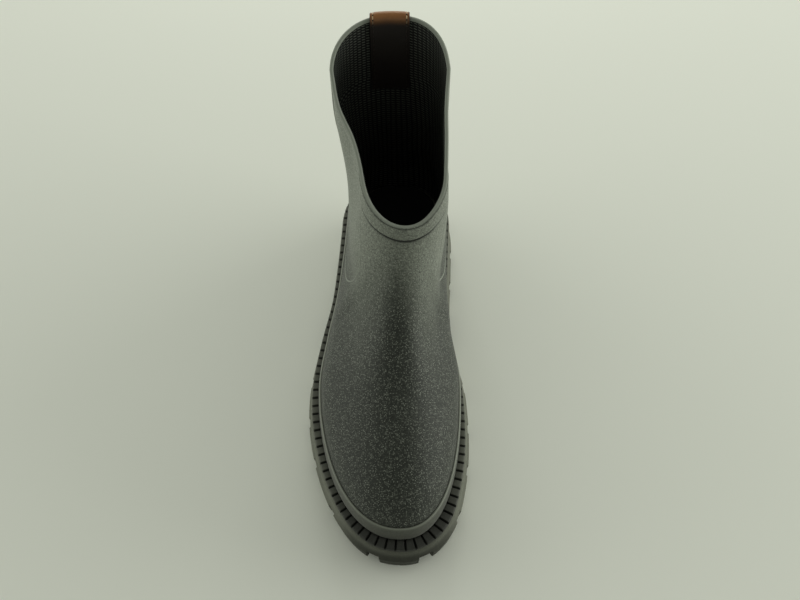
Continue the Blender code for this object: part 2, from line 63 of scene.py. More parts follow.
FOOT_TOP, ANKLE_HEIGHT, COLLAR_HEIGHT, SWELL_HEIGHT = 44.0, 92.0, 165.0, 44.0
SEAT = {
    "forward": (-6, 45, 90, 130, 165, 200, 240, 292),
    "height": (38.5, 37.5, 33.0, 27.0, 24.0, 23.2, 24.2, 28.0),
}
RIDGE = {
    "forward": (
        97, 104, 110, 117, 120, 122, 124.2, 127.6, 130,
        134, 139, 150, 163, 178, 195, 215, 235, 280),
    "height": (
        3000, 366, 237, 178.8, 163.3, 155, 147.2, 138.3, 133.5,
        126.5, 119, 105, 94.5, 86, 79.5, 75.5, 74, 74),
}
RIDGE_DATUM = 10.0
INSTEP_POWER, TOE_WALL_POWER, TOE_CROWN_POWER, THROAT_CROWN_POWER = 2.1, 2.5, 1.95, 3.0
BACK = {
    "height": (20, 42, 62, 90, 125, 165, 210),
    "forward": (7.5, 5.5, 3.0, 5.0, 8.5, 8.0, 5.5),
}
SHAFT = {
    "forward": (38, 60, 77, 98, 118),
    "ankle_lateral": (30.0, 31.2, 31.4, 30.6, 29.4),
    "ankle_medial": (34.0, 36.0, 35.4, 32.2, 29.6),
    "collar_lateral": (39.0, 36.0, 29.0, 25.0, 24.0),
    "collar_medial": (34.8, 31.4, 30.0, 27.6, 24.0),
}
# Rows of the surface, close together at the foxing, at the band's lower line and at the rim
RISES = {
    "row": (0, 2, 10, 14, 28, 52, 84, 112, 126, 134, 140, 172),
    "heel": (0.3, 4.2, 12.5, 14.5, 26.0, 48.0, 82.0, 118.0, 121.72, 122.0, 128.66, 166.4),
    "toe": (0.3, 4.2, 12.5, 13.76, 21.0, 30.0, 42.0, 53.0, 94.66, 97.8, 91.86, 58.2),
}
BAND_LINE, COLLAR_LINE = (122.0, 97.8), (166.4, 58.2)
BAND_RAISE, BAND_STEP, BAND_BACK, BAND_FADE, BAND_GORE_FADE = 0.5, 0.5, 92.0, 6.0, 1.2
BAND_GROOVE, BAND_GROOVE_BELOW, BAND_GROOVE_HALF, BAND_SHADOW_HALF = 0.6, 0.7, 0.5, 0.7
LIP_GROOVE, LIP_GROOVE_BELOW, LIP_GROOVE_HALF, LIP_SHADOW = 0.45, 0.75, 0.4, 0.7
GORE_LOW, GORE_CORNER_TOP, GORE_BACK, GORE_POWER = 68.0, 103.0, 44.0, 2.5
GORE_FRONT = {"height": (103.0, 148.0), "forward": (125.0, 98.0)}
GORE_BELOW_RIM, GORE_SINK, GORE_STEP = 4.0, 0.4, 4.0
FOXING_GROOVE, FOXING_GROOVE_AT, FOXING_GROOVE_HALF = 0.25, 13.3, 0.4
WELT_HEIGHT = 3.8
RUBBER_WALL, WHOLE_WALL = 2.0, 2.8
# Distance along the outward normal and height above the collar's edge, from the outside over the rim
RIM = (
    (-0.05, 0.3), (-0.25, 0.6), (-0.6, 0.82), (-1.05, 0.92),
    (-1.5, 0.88), (-1.95, 0.68), (-2.25, 0.3), (-2.35, -0.3))
HALF_AROUND, INSIDE_EVERY = 180, 8
AHEAD_OF_TOE, BEHIND_HEEL, HALVINGS = 277.0, -20.0, 50
SLOPE_STEP = 0.5


def smooth(value):
    """Rises from 0 to 1 with level ends: t squared times three less two t."""
    t = np.clip(value, 0.0, 1.0)
    return t * t * (3.0 - 2.0 * t)


def bump(distance, half):
    """Bell of height 1: the exponential of minus the squared share of the half-width."""
    return np.exp(-((distance / half) ** 2))


def curve(knots, values, at):
    """Cubic Hermite curve through values at knots, with central-difference slopes, level beyond its ends."""
    knots, values = np.array(knots, float), np.array(values, float)
    slopes = np.gradient(values, knots)
    at = np.clip(at, knots[0], knots[-1])
    i = np.clip(np.searchsorted(knots, at, side="right") - 1, 0, len(knots) - 2)
    span = knots[i + 1] - knots[i]
    t = (at - knots[i]) / span
    start = values[i] * (1 + 2 * t) * (1 - t) ** 2 + slopes[i] * span * t * (1 - t) ** 2
    return start + values[i + 1] * t * t * (3 - 2 * t) + slopes[i + 1] * span * t * t * (t - 1)


def along(table, column, at):
    """A table's column as a curve over its forward column."""
    return curve(table["forward"], table[column], at)


def seat(forward):
    """Height of the sole's top."""
    return along(SEAT, "height", forward)


def ridge(forward):
    """Height of the ridge from toe to shaft, as the reciprocal of a curve through reciprocals."""
    lowness = 1.0 / (np.array(RIDGE["height"]) - RIDGE_DATUM)
    return RIDGE_DATUM + 1.0 / curve(RIDGE["forward"], lowness, forward)


def back_line(height):
    """Forward place of the boot's back at a height."""
    return curve(BACK["height"], BACK["forward"], height)


def centre_line(forward, height):
    """Axis of the foot: leans to the inner side at the toe, and turns a little with the shaft."""
    twist = SHAFT_TWIST * smooth((height - TWIST_START) / TWIST_RISE)
    return TOE_SHIFT * forward / TOE_END + twist * (forward - TWIST_PIVOT)


def body_half_width(forward, height, side):
    """Half-width before its ends are rounded: a blend from the foot's edge to the ankle and on to the collar,
    with a parabola's swell low down."""
    to_collar = smooth((height - ANKLE_HEIGHT) / (COLLAR_HEIGHT - ANKLE_HEIGHT))
    ankle, collar = along(SHAFT, "ankle_" + side, forward), along(SHAFT, "collar_" + side, forward)
    shaft = ankle * (1 - to_collar) + collar * to_collar
    to_shaft = smooth((height - FOOT_TOP) / (ANKLE_HEIGHT - FOOT_TOP))
    rise = np.clip((height - seat(forward) - WELT_HEIGHT) / SWELL_HEIGHT, 0.0, 1.0)
    swell = along(EDGE, side + "_swell", forward) * 4 * rise * (1 - rise)
    return along(EDGE, side, forward) * (1 - to_shaft) + shaft * to_shaft + swell


def crown_room(forward, height, side):
    """What the crown and the rounded toe leave of the half-width, as a power: zero on the ridge."""
    to_toe = smooth((forward - INSTEP_STATION) / (VAMP_STATION - INSTEP_STATION))
    in_throat = 1 - smooth((forward - THROAT_STATION) / (INSTEP_STATION - THROAT_STATION))
    wall = INSTEP_POWER + (TOE_WALL_POWER - INSTEP_POWER) * to_toe
    crown = INSTEP_POWER + (TOE_CROWN_POWER - INSTEP_POWER) * to_toe
    crown = crown + (THROAT_CROWN_POWER - INSTEP_POWER) * in_throat
    share = np.clip((height - seat(forward)) / (ridge(forward) - seat(forward)), 0.0, None)
    toe = np.clip((forward - BALL_STATION) / (TOE_END - BALL_STATION), 0.0, None) ** TOE_ROUND[side]
    return np.clip(1 - share**crown, 0.0, None) ** (TOE_ROUND[side] / wall) - toe


def heel_room(forward, height, side):
    """What the rounded heel leaves of the half-width, as a power: zero on the back line."""
    reach = HEEL_STATION - back_line(height)
    return 1 - np.clip((HEEL_STATION - forward) / reach, 0.0, None) ** HEEL_ROUND[side]


def half_width(forward, height, side):
    """Body half-width times the roots of the rooms that crown, toe and heel leave."""
    crown = np.clip(crown_room(forward, height, side), 0.0, None) ** (1 / TOE_ROUND[side])
    heel = np.clip(heel_room(forward, height, side), 0.0, None) ** (1 / HEEL_ROUND[side])
    return body_half_width(forward, height, side) * crown * heel


def level(forward, heel, toe):
    """Height of a slanted section that lies heel above the sole at its back and toe above it at its front."""
    return seat(forward) + heel + (toe - heel) * (forward - HEEL_END) / (TOE_END - HEEL_END)


def rings(heel, toe, half=HALF_AROUND):
    """One closed loop per section. Its ends are found by halving; forward runs between them as a cosine of
    the turn, and the half-width on each side gives the rest. Order: toe, outer side, heel, inner side."""
    heel, toe = np.reshape(heel, (-1, 1)).astype(float), np.reshape(toe, (-1, 1)).astype(float)

    def end(room, far):
        inside, outside = np.full_like(heel, HEEL_STATION), np.full_like(heel, far)
        for _ in range(HALVINGS):
            middle = (inside + outside) / 2
            clear = room(middle, level(middle, heel, toe), "medial") > 0
            inside, outside = np.where(clear, middle, inside), np.where(clear, outside, middle)
        return inside

    front, back = end(crown_room, AHEAD_OF_TOE), end(heel_room, BEHIND_HEEL)
    forward = back + (front - back) * (1 + np.cos(np.linspace(0.0, np.pi, half + 1))) / 2
    height = level(forward, heel, toe)
    axis = centre_line(forward, height)
    outer = np.stack([axis - half_width(forward, height, "lateral"), forward, height], axis=-1)
    inner = np.stack([axis + half_width(forward, height, "medial"), forward, height], axis=-1)
    outer[:, [0, -1], 0] = axis[:, [0, -1]]
    return np.concatenate([outer, inner[:, -2:0:-1]], axis=1)


def outward(grid):
    """Unit normals of loops stacked upwards: the step around crossed with the step up."""
    step_round = np.roll(grid, -1, axis=1) - np.roll(grid, 1, axis=1)
    normal = np.cross(step_round, np.gradient(grid, axis=0))
    return normal / np.linalg.norm(normal, axis=2, keepdims=True)


def gore_distance(grid):
    """Distance inside the gore's outline in mm, negative outside: an upright panel whose front edge leans
    forward on its way down and whose foot is a rounded power curve. The curve's value over its slope."""
    def share(s, z):
        front = np.interp(z, GORE_FRONT["height"], GORE_FRONT["forward"])
        beside = np.abs(s - (front + GORE_BACK) / 2) / ((front - GORE_BACK) / 2)
        below = np.clip((GORE_CORNER_TOP - z) / (GORE_CORNER_TOP - GORE_LOW), 0.0, None)
        return 1 - (beside**GORE_POWER + below**GORE_POWER) ** (1 / GORE_POWER)

    s, z = grid[..., 1], grid[..., 2]
    slope = np.hypot(
        share(s + SLOPE_STEP, z) - share(s - SLOPE_STEP, z),
        share(s, z + SLOPE_STEP) - share(s, z - SLOPE_STEP))
    below_rim = level(s, *COLLAR_LINE) - GORE_BELOW_RIM - z
    return np.minimum(share(s, z) / np.maximum(slope, 1e-3), below_rim)


def placed(points):
    """Across, forward, height in mm to metres in the part's frame: toe along -Y, inner side along +X."""
    across, forward, height = np.moveaxis(np.asarray(points, float), -1, 0)
    moved = np.stack([across - MIDDLE_OF_SOLE[0], MIDDLE_OF_SOLE[1] - forward, height], axis=-1)
    return moved.reshape(-1, 3) * METRES


def put_grid(name, grid, wrap_rows=False, wrap_columns=True, shape_rows=None, uv=None, crease=0.6, **fields):
    """Piece from a grid of points, one face per cell. Rows and columns may close on themselves, and no face
    joins one shape of shape_rows rows to the next. uv is a place in mm per corner of the unwrapped grid,
    fields are values per point, faces turn outwards by volume, and points that coincide become one."""
    rows, columns = grid.shape[:2]
    i, j = np.indices((rows - (not wrap_rows), columns - (not wrap_columns)))
    if shape_rows:
        i, j = (part[np.arange(len(i)) % shape_rows != shape_rows - 1] for part in (i, j))
    down = np.stack([i, i, i + 1, i + 1], axis=-1).reshape(-1, 4)
    right = np.stack([j, j + 1, j + 1, j], axis=-1).reshape(-1, 4)
    faces = (down % rows) * columns + right % columns
    points = placed(grid)
    a, b, c, d = (points[faces[:, k]] for k in range(4))
    if np.einsum("ij,ij->", a, np.cross(b, c) + np.cross(c, d)) < 0:
        faces, down, right = faces[:, ::-1], down[:, ::-1], right[:, ::-1]
    mesh = bpy.data.meshes.new(name)
    mesh.from_pydata(points.tolist(), [], faces.tolist())
    if uv is not None:
        layer = mesh.uv_layers.new(name="cloth")
        layer.data.foreach_set("uv", uv[down, right].astype(np.float32).ravel())
    for field, values in fields.items():
        attribute = mesh.attributes.new(field, "FLOAT", "POINT")
        attribute.data.foreach_set("value", values.astype(np.float32).ravel())
    shell = bmesh.new()
    shell.from_mesh(mesh)
    bmesh.ops.remove_doubles(shell, verts=shell.verts, dist=1e-6)
    shell.to_mesh(mesh)
    shell.free()
    mesh.shade_smooth()
    mesh.set_sharp_from_angle(angle=crease)
    piece = bpy.data.objects.new(name, mesh)
    bpy.context.scene.collection.objects.link(piece)
    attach(piece, "root")
    return piece


def linear(code):
    """sRGB hex colour to linear red, green, blue and full alpha."""
    part = np.array([int(code[k:k + 2], 16) for k in (1, 3, 5)]) / 255.0
    return (*np.where(part <= 0.04045, part / 12.92, ((part + 0.055) / 1.055) ** 2.4), 1.0)


def feed(tree, made, inputs):
    """Gives each input a value or a link, from a socket or from a node's first socket in use."""
    for key, value in inputs.items():
        if isinstance(value, bpy.types.Node):
            value = next(socket for socket in value.outputs if socket.enabled)
        if isinstance(value, bpy.types.NodeSocket):
            tree.links.new(value, made.inputs[key])
        else:
            made.inputs[key].default_value = value


def node(tree, kind, inputs=None, **settings):
    """Adds a node, sets its properties, and feeds its named or numbered inputs."""
    made = tree.nodes.new("ShaderNode" + kind)
    for key, value in settings.items():
        setattr(made, key, value)
    feed(tree, made, inputs or {})
    return made


def clouded(tree, where, size, detail, roughness, dark, light):
    """Two colours mixed by a noise whose clouds have a size in mm."""
    noise = {"Vector": where, "Scale": 1000 / size, "Detail": detail, "Roughness": roughness}
    mixed = {"Factor": node(tree, "TexNoise", noise), 6: linear(dark), 7: linear(light)}
    return node(tree, "Mix", mixed, data_type="RGBA")


def new_material(name, **values):
    """Material with a Principled shader, its even values set on the shader's own sockets."""
    made = bpy.data.materials.new(name)
    made.use_nodes = True
    shader = made.node_tree.nodes["Principled BSDF"]
    for key, value in values.items():
        shader.inputs[key.replace("_", " ")].default_value = value
    return made, made.node_tree, shader


row_number = np.arange(RISES["row"][-1] + 1)
heel_rise = np.interp(row_number, RISES["row"], RISES["heel"])
toe_rise = np.interp(row_number, RISES["row"], RISES["toe"])
last = rings(heel_rise, toe_rise)
last_normal = outward(last)
around = last.shape[1]
gore = gore_distance(last)
above_band = last[..., 2] - level(last[..., 1], *BAND_LINE)
below_rim = level(last[..., 1], *COLLAR_LINE) - last[..., 2]
in_front = smooth((last[..., 1] - BAND_BACK) / BAND_FADE) * smooth(-gore / BAND_GORE_FADE)
band_groove = bump(above_band + BAND_GROOVE_BELOW, BAND_GROOVE_HALF) * in_front
band_shadow = bump(above_band + BAND_GROOVE_BELOW, BAND_SHADOW_HALF) * in_front
lip_groove = bump(below_rim - LIP_GROOVE_BELOW, LIP_GROOVE_HALF) * in_front
relief = BAND_RAISE * smooth(above_band / BAND_STEP + 0.5) * in_front
relief -= BAND_GROOVE * band_groove + LIP_GROOVE * lip_groove
relief -= GORE_SINK * smooth(gore / GORE_STEP + 0.5)
relief -= FOXING_GROOVE * bump(heel_rise - FOXING_GROOVE_AT, FOXING_GROOVE_HALF)[:, None]
face = last + last_normal * relief[..., None]
rim = [last[-1] + last_normal[-1] * out + np.array([0.0, 0.0, up]) for out, up in RIM]
inside = (last - last_normal * RUBBER_WALL)[-1 - INSIDE_EVERY::-INSIDE_EVERY]
on_rim, on_inside = np.ones((len(RIM), around)), np.ones((len(inside), around))
upper = put_grid(
    "upper_rubber", np.concatenate([face, np.array(rim), inside]), wrap_rows=True, crease=0.9,
    groove=np.concatenate([np.maximum(band_shadow, LIP_SHADOW * lip_groove), 0 * on_rim, 0 * on_inside]),
    lip=np.concatenate([0 * gore, on_rim, 0 * on_inside]))
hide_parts("upper")

# Moulded natural rubber with a sand-blasted mould finish: matt, dark grey, with a fine grain and light flecks,
# and a painted highlight that lightens it up the shaft, starting lower at its sides than on the ridge in front.
# Real grit is near 0.3 mm; it is drawn two to three times as coarse to show.
MOTTLE_MM, GRIT_MM, FLECK_MM = 22.0, 1.1, 0.78
RIDGE_ACROSS, HIGHLIGHT_SIDE, HIGHLIGHT_DROP = 0.006, 0.025, 1.3
HIGHLIGHT_START, HIGHLIGHT_FULL = 0.092, 0.152
rubber, tree, shader = new_material("matt_flecked_rubber", IOR=1.38, Sheen_Weight=0.1, Sheen_Roughness=0.5)
where = node(tree, "TexCoord").outputs["Object"]
grit = node(tree, "TexNoise", {"Vector": where, "Scale": 1000 / GRIT_MM, "Detail": 2.0, "Roughness": 0.7})
cells = node(tree, "TexVoronoi", {"Vector": where, "Scale": 1000 / FLECK_MM})
chosen = node(tree, "SeparateColor", {"Color": cells.outputs["Color"]})
bright = node(
    tree, "MapRange", {"Value": chosen.outputs["Red"], "From Min": 0.3, "From Max": 1.0, "To Max": 0.6})
dot = node(
    tree, "MapRange",
    {"Value": cells.outputs["Distance"], "From Min": 0.15, "From Max": 0.6, "To Min": 1.0, "To Max": 0.0},
    interpolation_type="SMOOTHSTEP")
fleck = node(tree, "Math", {0: bright, 1: dot}, operation="MULTIPLY")
ground = clouded(tree, where, MOTTLE_MM, 4.0, 0.6, "#2b2f29", "#383c35")
up_shaft = node(tree, "SeparateXYZ", {"Vector": where})
off_ridge = node(tree, "Math", {0: up_shaft.outputs["X"], 1: RIDGE_ACROSS}, operation="SUBTRACT")
beside = node(tree, "Math", {0: off_ridge}, operation="ABSOLUTE")
at_side = node(tree, "Math", {0: beside, 1: HIGHLIGHT_SIDE}, operation="MINIMUM")
# Painted highlight: the colour turns pale with height up the shaft, sooner at its sides than on the ridge
highlight_rise = node(
    tree, "Math", {0: at_side, 1: HIGHLIGHT_DROP, 2: up_shaft.outputs["Z"]}, operation="MULTIPLY_ADD")
shaft_highlight = node(
    tree, "MapRange", {"Value": highlight_rise, "From Min": HIGHLIGHT_START, "From Max": HIGHLIGHT_FULL, "To Max": 0.95},
    interpolation_type="SMOOTHSTEP")
shaft_highlighted = node(tree, "Mix", {"Factor": shaft_highlight, 6: ground, 7: linear("#888d82")}, data_type="RGBA")
sifted = node(tree, "MapRange", {"Value": grit, "From Min": 0.3, "From Max": 0.7, "To Min": 0.35})
grained = node(tree, "Mix", {"Factor": 1.0, 6: shaft_highlighted, 7: sifted}, data_type="RGBA", blend_type="MULTIPLY")
flecked = node(tree, "Mix", {"Factor": fleck, 6: grained, 7: linear("#adb2a6")}, data_type="RGBA")
# Painted shade: the groove attribute darkens the band's groove and the groove under the rim towards near black
groove = node(tree, "Attribute", attribute_name="groove")
lined = node(
    tree, "Mix", {"Factor": groove.outputs["Fac"], 6: flecked, 7: linear("#0f110e")}, data_type="RGBA")
# The lip attribute paints the rim over the collar pale, partly as its paler cut edge and partly as a painted
# highlight; on the gore beads it is a painted highlight
lip = node(tree, "Attribute", attribute_name="lip")
lipped = node(tree, "Mix", {"Factor": lip.outputs["Fac"], 6: lined, 7: linear("#8d9288")}, data_type="RGBA")
gloss = node(tree, "MapRange", {"Value": fleck, "To Min": 0.6, "To Max": 0.4})
grain = node(tree, "Bump", {"Height": grit, "Strength": 0.5, "Distance": 0.0006})
feed(tree, shader, {"Base Color": lipped, "Roughness": gloss, "Normal": grain})
upper.data.materials.append(rubber)


# Gore edges
# Fine rounded bead of the same rubber, moulded in one with the upper along the edge of the sunk gore panel on
# each side of the shaft. It is painted paler as a highlight where it catches the light, most at its foot.
BEAD_HALF, BEAD_PROUD, BEAD_STEPS, BEAD_SIDES, BEAD_TAPER = 0.6, 0.28, 180, 10, 8.0
FRONT_STEPS, FOOT_STEPS, BACK_STEPS = 30, 121, 50
BEAD_HIGHLIGHT, BEAD_FADE, BEAD_FADE_START, BEAD_FADE_RISE = 0.75, 0.4, 6.0, 14.0
GORE_TOP_FRONT, GORE_TOP_BACK = 143.0, 183.0


def gore_outline(steps):
    """Forward and height along the gore's edge, evenly spaced: down the leaning front edge, round the power
    curve of its foot, and up the back edge."""
    turn = np.linspace(0.0, np.pi, FOOT_STEPS)
    foot_front = GORE_FRONT["forward"][0]
    beside = np.sign(np.cos(turn)) * np.abs(np.cos(turn)) ** (2 / GORE_POWER)
    foot = (foot_front + GORE_BACK) / 2 + (foot_front - GORE_BACK) / 2 * beside
    foot_height = GORE_CORNER_TOP - (GORE_CORNER_TOP - GORE_LOW) * np.sin(turn) ** (2 / GORE_POWER)
    down = np.linspace(GORE_TOP_FRONT, GORE_CORNER_TOP, FRONT_STEPS)[:-1]
    up = np.linspace(GORE_CORNER_TOP, GORE_TOP_BACK, BACK_STEPS)[1:]
    front = np.interp(down, GORE_FRONT["height"], GORE_FRONT["forward"])
    forward = np.concatenate([front, foot, np.full_like(up, GORE_BACK)])
    height = np.concatenate([down, foot_height, up])
    travel = np.concatenate([[0.0], np.cumsum(np.hypot(np.diff(forward), np.diff(height)))])
    place = np.linspace(0.0, travel[-1], steps)
    return np.interp(place, travel, forward), np.interp(place, travel, height)


def shaft_side(forward, height, side):
    """Point of the shaft's side: its axis less or plus the half-width."""
    sign = -1.0 if side == "lateral" else 1.0
    across = centre_line(forward, height) + sign * half_width(forward, height, side)
    return np.stack([across, forward, height], axis=-1)


for side, sign in (("lateral", -1.0), ("medial", 1.0)):
    forward, height = gore_outline(BEAD_STEPS)
    spine = shaft_side(forward, height, side)
    ahead = shaft_side(forward + SLOPE_STEP, height, side) - shaft_side(forward - SLOPE_STEP, height, side)
    above = shaft_side(forward, height + SLOPE_STEP, side) - shaft_side(forward, height - SLOPE_STEP, side)
    over = np.cross(ahead, above) * sign
    over /= np.linalg.norm(over, axis=1, keepdims=True)
    beside = np.cross(over, np.gradient(spine, axis=0))
    beside /= np.linalg.norm(beside, axis=1, keepdims=True)
    turn = np.linspace(0.0, 2 * np.pi, BEAD_SIDES, endpoint=False)
    wide, high = np.cos(turn)[None, :, None] * BEAD_HALF, np.sin(turn)[None, :, None] * BEAD_PROUD
    from_end = np.minimum(np.arange(BEAD_STEPS), np.arange(BEAD_STEPS)[::-1])
    section = (wide * beside[:, None] + high * over[:, None]) * smooth(from_end / BEAD_TAPER)[:, None, None]
    bead_grid = (spine - over * GORE_SINK / 2)[:, None] + section
    # Painted highlight along the bead, strongest at its foot
    pale = BEAD_HIGHLIGHT - BEAD_FADE * smooth((height - GORE_LOW - BEAD_FADE_START) / BEAD_FADE_RISE)
    bead = put_grid(
        "gore_bead_" + side, bead_grid, crease=1.2, lip=np.tile(pale[:, None], (1, BEAD_SIDES)))
    bead.data.materials.append(rubber)


# Lining
# Black spacer-knit tube glued to the inside of the rubber, from just under the rim down to the footbed. Its
# loops stand in upright wales, and the yarn catches a little light at the back of the shaft.
LINING_THICK, LINING_EVERY, MEASURED_ROW = 0.7, 3, -4
WALE_MM, COURSE_MM, COURSE_SLANT = 3.0, 2.1, 0.3
knit_rows = np.arange(LINING_EVERY, len(last), LINING_EVERY)
knit_base, knit_normal = last[knit_rows], last_normal[knit_rows]
knit_face = knit_base - knit_normal * WHOLE_WALL
knit_back = knit_base - knit_normal * (WHOLE_WALL - LINING_THICK)
lining_grid = np.concatenate([knit_face, knit_back[::-1]])
measured = knit_face[MEASURED_ROW]
step_round = np.linalg.norm(np.roll(measured, -1, axis=0) - measured, axis=1)
place_round = np.concatenate([[0.0], np.cumsum(step_round)])
step_up = np.linalg.norm(np.diff(knit_face[:, around // 2], axis=0), axis=1)
place_up = np.concatenate([[0.0], np.cumsum(step_up)])
place_up = np.concatenate([place_up, place_up[::-1], place_up[:1]])
knit_uv = np.stack(np.broadcast_arrays(place_round[None, :], place_up[:, None]), axis=-1)
lining = put_grid("knit_lining", lining_grid, wrap_rows=True, uv=knit_uv)

# Black polyester knit: each loop is a short bar in its wale, a little slanted, with a faint painted highlight
# over the dark hollows. The wales and courses of the real knit are a little finer than they are drawn.
knit, tree, shader = new_material("black_spacer_knit", Roughness=0.85, IOR=1.5)
cloth = node(tree, "UVMap", uv_map="cloth")
apart = node(tree, "SeparateXYZ", {"Vector": cloth.outputs["UV"]})
wale = node(tree, "Math", {0: apart.outputs["X"], 1: 1 / WALE_MM}, operation="MULTIPLY")
wale_part = node(tree, "Math", {0: wale}, operation="FRACT")
wale_side = node(tree, "Math", {0: wale_part, 1: 0.5}, operation="SUBTRACT")
wale_off = node(tree, "Math", {0: wale_side}, operation="ABSOLUTE")
lean = node(tree, "Math", {0: wale_part, 1: COURSE_SLANT}, operation="MULTIPLY")
slant = node(tree, "Math", {0: apart.outputs["Y"], 1: 1 / COURSE_MM, 2: lean}, operation="MULTIPLY_ADD")
turn = node(tree, "Math", {0: slant, 1: 2 * np.pi}, operation="MULTIPLY")
wave = node(tree, "Math", {0: turn}, operation="SINE")
course = node(
    tree, "MapRange", {"Value": wave, "From Min": 0.25, "From Max": 0.9}, interpolation_type="SMOOTHSTEP")
column = node(
    tree, "MapRange", {"Value": wale_off, "From Min": 0.26, "From Max": 0.42, "To Min": 1.0, "To Max": 0.0},
    interpolation_type="SMOOTHSTEP")
loop = node(tree, "Math", {0: course, 1: column}, operation="MULTIPLY")
# Painted highlight on the loops of the black knit
loop_highlight = node(tree, "Mix", {"Factor": loop, 6: linear("#020302"), 7: linear("#61665d")}, data_type="RGBA")
raised = node(tree, "Bump", {"Height": loop, "Strength": 0.7, "Distance": 0.0006})
feed(tree, shader, {"Base Color": loop_highlight, "Normal": raised})
lining.data.materials.append(knit)


# Foxing
# Strip of smooth rubber vulcanised round the foot of the upper. It stands a little proud, with a rounded top
# edge that is painted paler as a highlight, and a fine groove above it.
# Distance out from the last and height above the sole, round the strip's section
FOXING = (
    (0.3, 4.5), (1.45, 4.5), (1.6, 4.9), (1.62, 8.0), (1.6, 11.2),
    (1.45, 12.2), (1.1, 12.75), (0.7, 13.0), (0.1, 13.05), (0.1, 12.6))
FOXING_STEP = 0.2
FOXING_EDGE_AT, FOXING_EDGE_HALF, FOXING_EDGE_OUT = 12.7, 0.8, 0.5
foxing_grid = []
for out, rise in FOXING:
    rises = [rise - FOXING_STEP, rise, rise + FOXING_STEP]
    strip = rings(rises, rises)
    foxing_grid.append(strip[1] + outward(strip)[1] * out)
foxing_out, foxing_rise = np.array(FOXING).T
near_edge = 1 - np.abs(foxing_rise - FOXING_EDGE_AT) / FOXING_EDGE_HALF
lit_top_edge = smooth(near_edge) * (foxing_out > FOXING_EDGE_OUT)
foxing = put_grid(
    "foxing_band", np.array(foxing_grid), wrap_rows=True, crease=1.2,
    edge=np.tile(lit_top_edge[:, None], (1, around)))
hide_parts("foxing")

# Calendered rubber strip: smoother than the upper, a satin skin with faint clouding and a fine grain, drawn
# at 1 mm where the real grain is near 0.3 mm.
FOXING_CLOUD_MM, FOXING_GRAIN_MM = 9.0, 1.0
band_rubber, tree, shader = new_material(
    "smooth_band_rubber", Roughness=0.55, IOR=1.5, Sheen_Weight=0.2, Sheen_Roughness=0.5)
where = node(tree, "TexCoord").outputs["Object"]
tone = clouded(tree, where, FOXING_CLOUD_MM, 4.0, 0.65, "#46483f", "#585b50")
grain = node(tree, "TexNoise", {"Vector": where, "Scale": 1000 / FOXING_GRAIN_MM, "Detail": 2.0})
fine_tone = node(tree, "Mix", {"Factor": grain, 6: linear("#2b2d26"), 7: tone}, data_type="RGBA")
# Painted highlight on the strip's rounded top edge
edge_highlight = node(tree, "Attribute", attribute_name="edge")
edged = node(
    tree, "Mix", {"Factor": edge_highlight.outputs["Fac"], 6: fine_tone, 7: linear("#797d72")}, data_type="RGBA")
fine = node(tree, "Bump", {"Height": grain, "Strength": 0.2, "Distance": 0.0004})
feed(tree, shader, {"Base Color": edged, "Normal": fine})
foxing.data.materials.append(band_rubber)


# Welt
# Ribbed rubber ledge moulded on the sole's edge: a low strip round the foxing, cut by short radial grooves.
# Painted shade darkens the grooves, the ledge against the foxing and the ledge round the toe.
RIB_PITCH, RIB_SAMPLES, RIB_CROWN = 5.9, 14, 0.03
GROOVE_DEPTH, GROOVE_HALF, GROOVE_SHADE_HALF = 1.7, 0.1, 0.13
WELT_CLEAR = 0.4
MARGIN = {
    "forward": (10, 42, 105, 166, 190, 215, 240, 262, 276),
    "lateral": (4.6, 4.8, 4.8, 6.0, 6.4, 6.0, 5.6, 6.2, 7.4),
    "medial": (4.6, 4.4, 3.8, 3.6, 4.6, 5.8, 6.8, 8.2, 7.6),
}
# Share of the ledge's width, height above the sole and share of the groove's depth, round the strip's section
WELT = (
    (0.0, 0.3, 0.0), (0.0, 3.5, 1.0), (0.06, 3.75, 1.0), (0.3, 3.7, 1.0), (0.6, 3.5, 1.0),
    (0.85, 3.3, 1.0), (0.96, 3.05, 1.0), (1.0, 2.5, 0.8), (1.0, 0.3, 0.0))
WELT_TOE_SHADE, WELT_TOE_SHADE_START, WELT_TOE_SHADE_RUN = 0.8, 225.0, 45.0
WELT_INNER_SHADE, WELT_INNER_SHADE_SHARE = 0.75, 0.5
OUTLINE_POINTS = 1440


def edge_outline(count):
    """Dense loop of the last's lower edge in plan, with its outward normals: the tangent turned a quarter."""
    loop = rings(0.0, 0.0, count // 2)[0, :, :2]
    tangent = np.roll(loop, -1, axis=0) - np.roll(loop, 1, axis=0)
    normal = np.stack([tangent[:, 1], -tangent[:, 0]], axis=1)
    normal *= np.sign(normal[0, 1])
    return loop, normal / np.linalg.norm(normal, axis=1, keepdims=True)


outline, outline_normal = edge_outline(OUTLINE_POINTS)
on_outer_side = outline[:, 0] < centre_line(outline[:, 1], 0.0)
outer_margin, inner_margin = (along(MARGIN, side, outline[:, 1]) for side in ("lateral", "medial"))
margin = np.where(on_outer_side, outer_margin, inner_margin)
middle = outline + outline_normal * margin[:, None] / 2
steps = np.linalg.norm(np.roll(middle, -1, axis=0) - middle, axis=1)
travel = np.concatenate([[0.0], np.cumsum(steps)])
ribs = int(round(travel[-1] / RIB_PITCH))
samples = np.arange(ribs * RIB_SAMPLES)
wrapped = np.append(np.arange(len(outline)), 0)
edge_x, edge_y, out_x, out_y, reach = (
    np.interp(samples * travel[-1] / len(samples), travel, values[wrapped])
    for values in (*outline.T, *outline_normal.T, margin))
phase = np.abs((samples / RIB_SAMPLES) % 1.0 - 0.5)
rib_groove = GROOVE_DEPTH * np.exp(-((phase / GROOVE_HALF) ** 4)) - RIB_CROWN * np.cos(phase * 2 * np.pi)
welt_grid = []
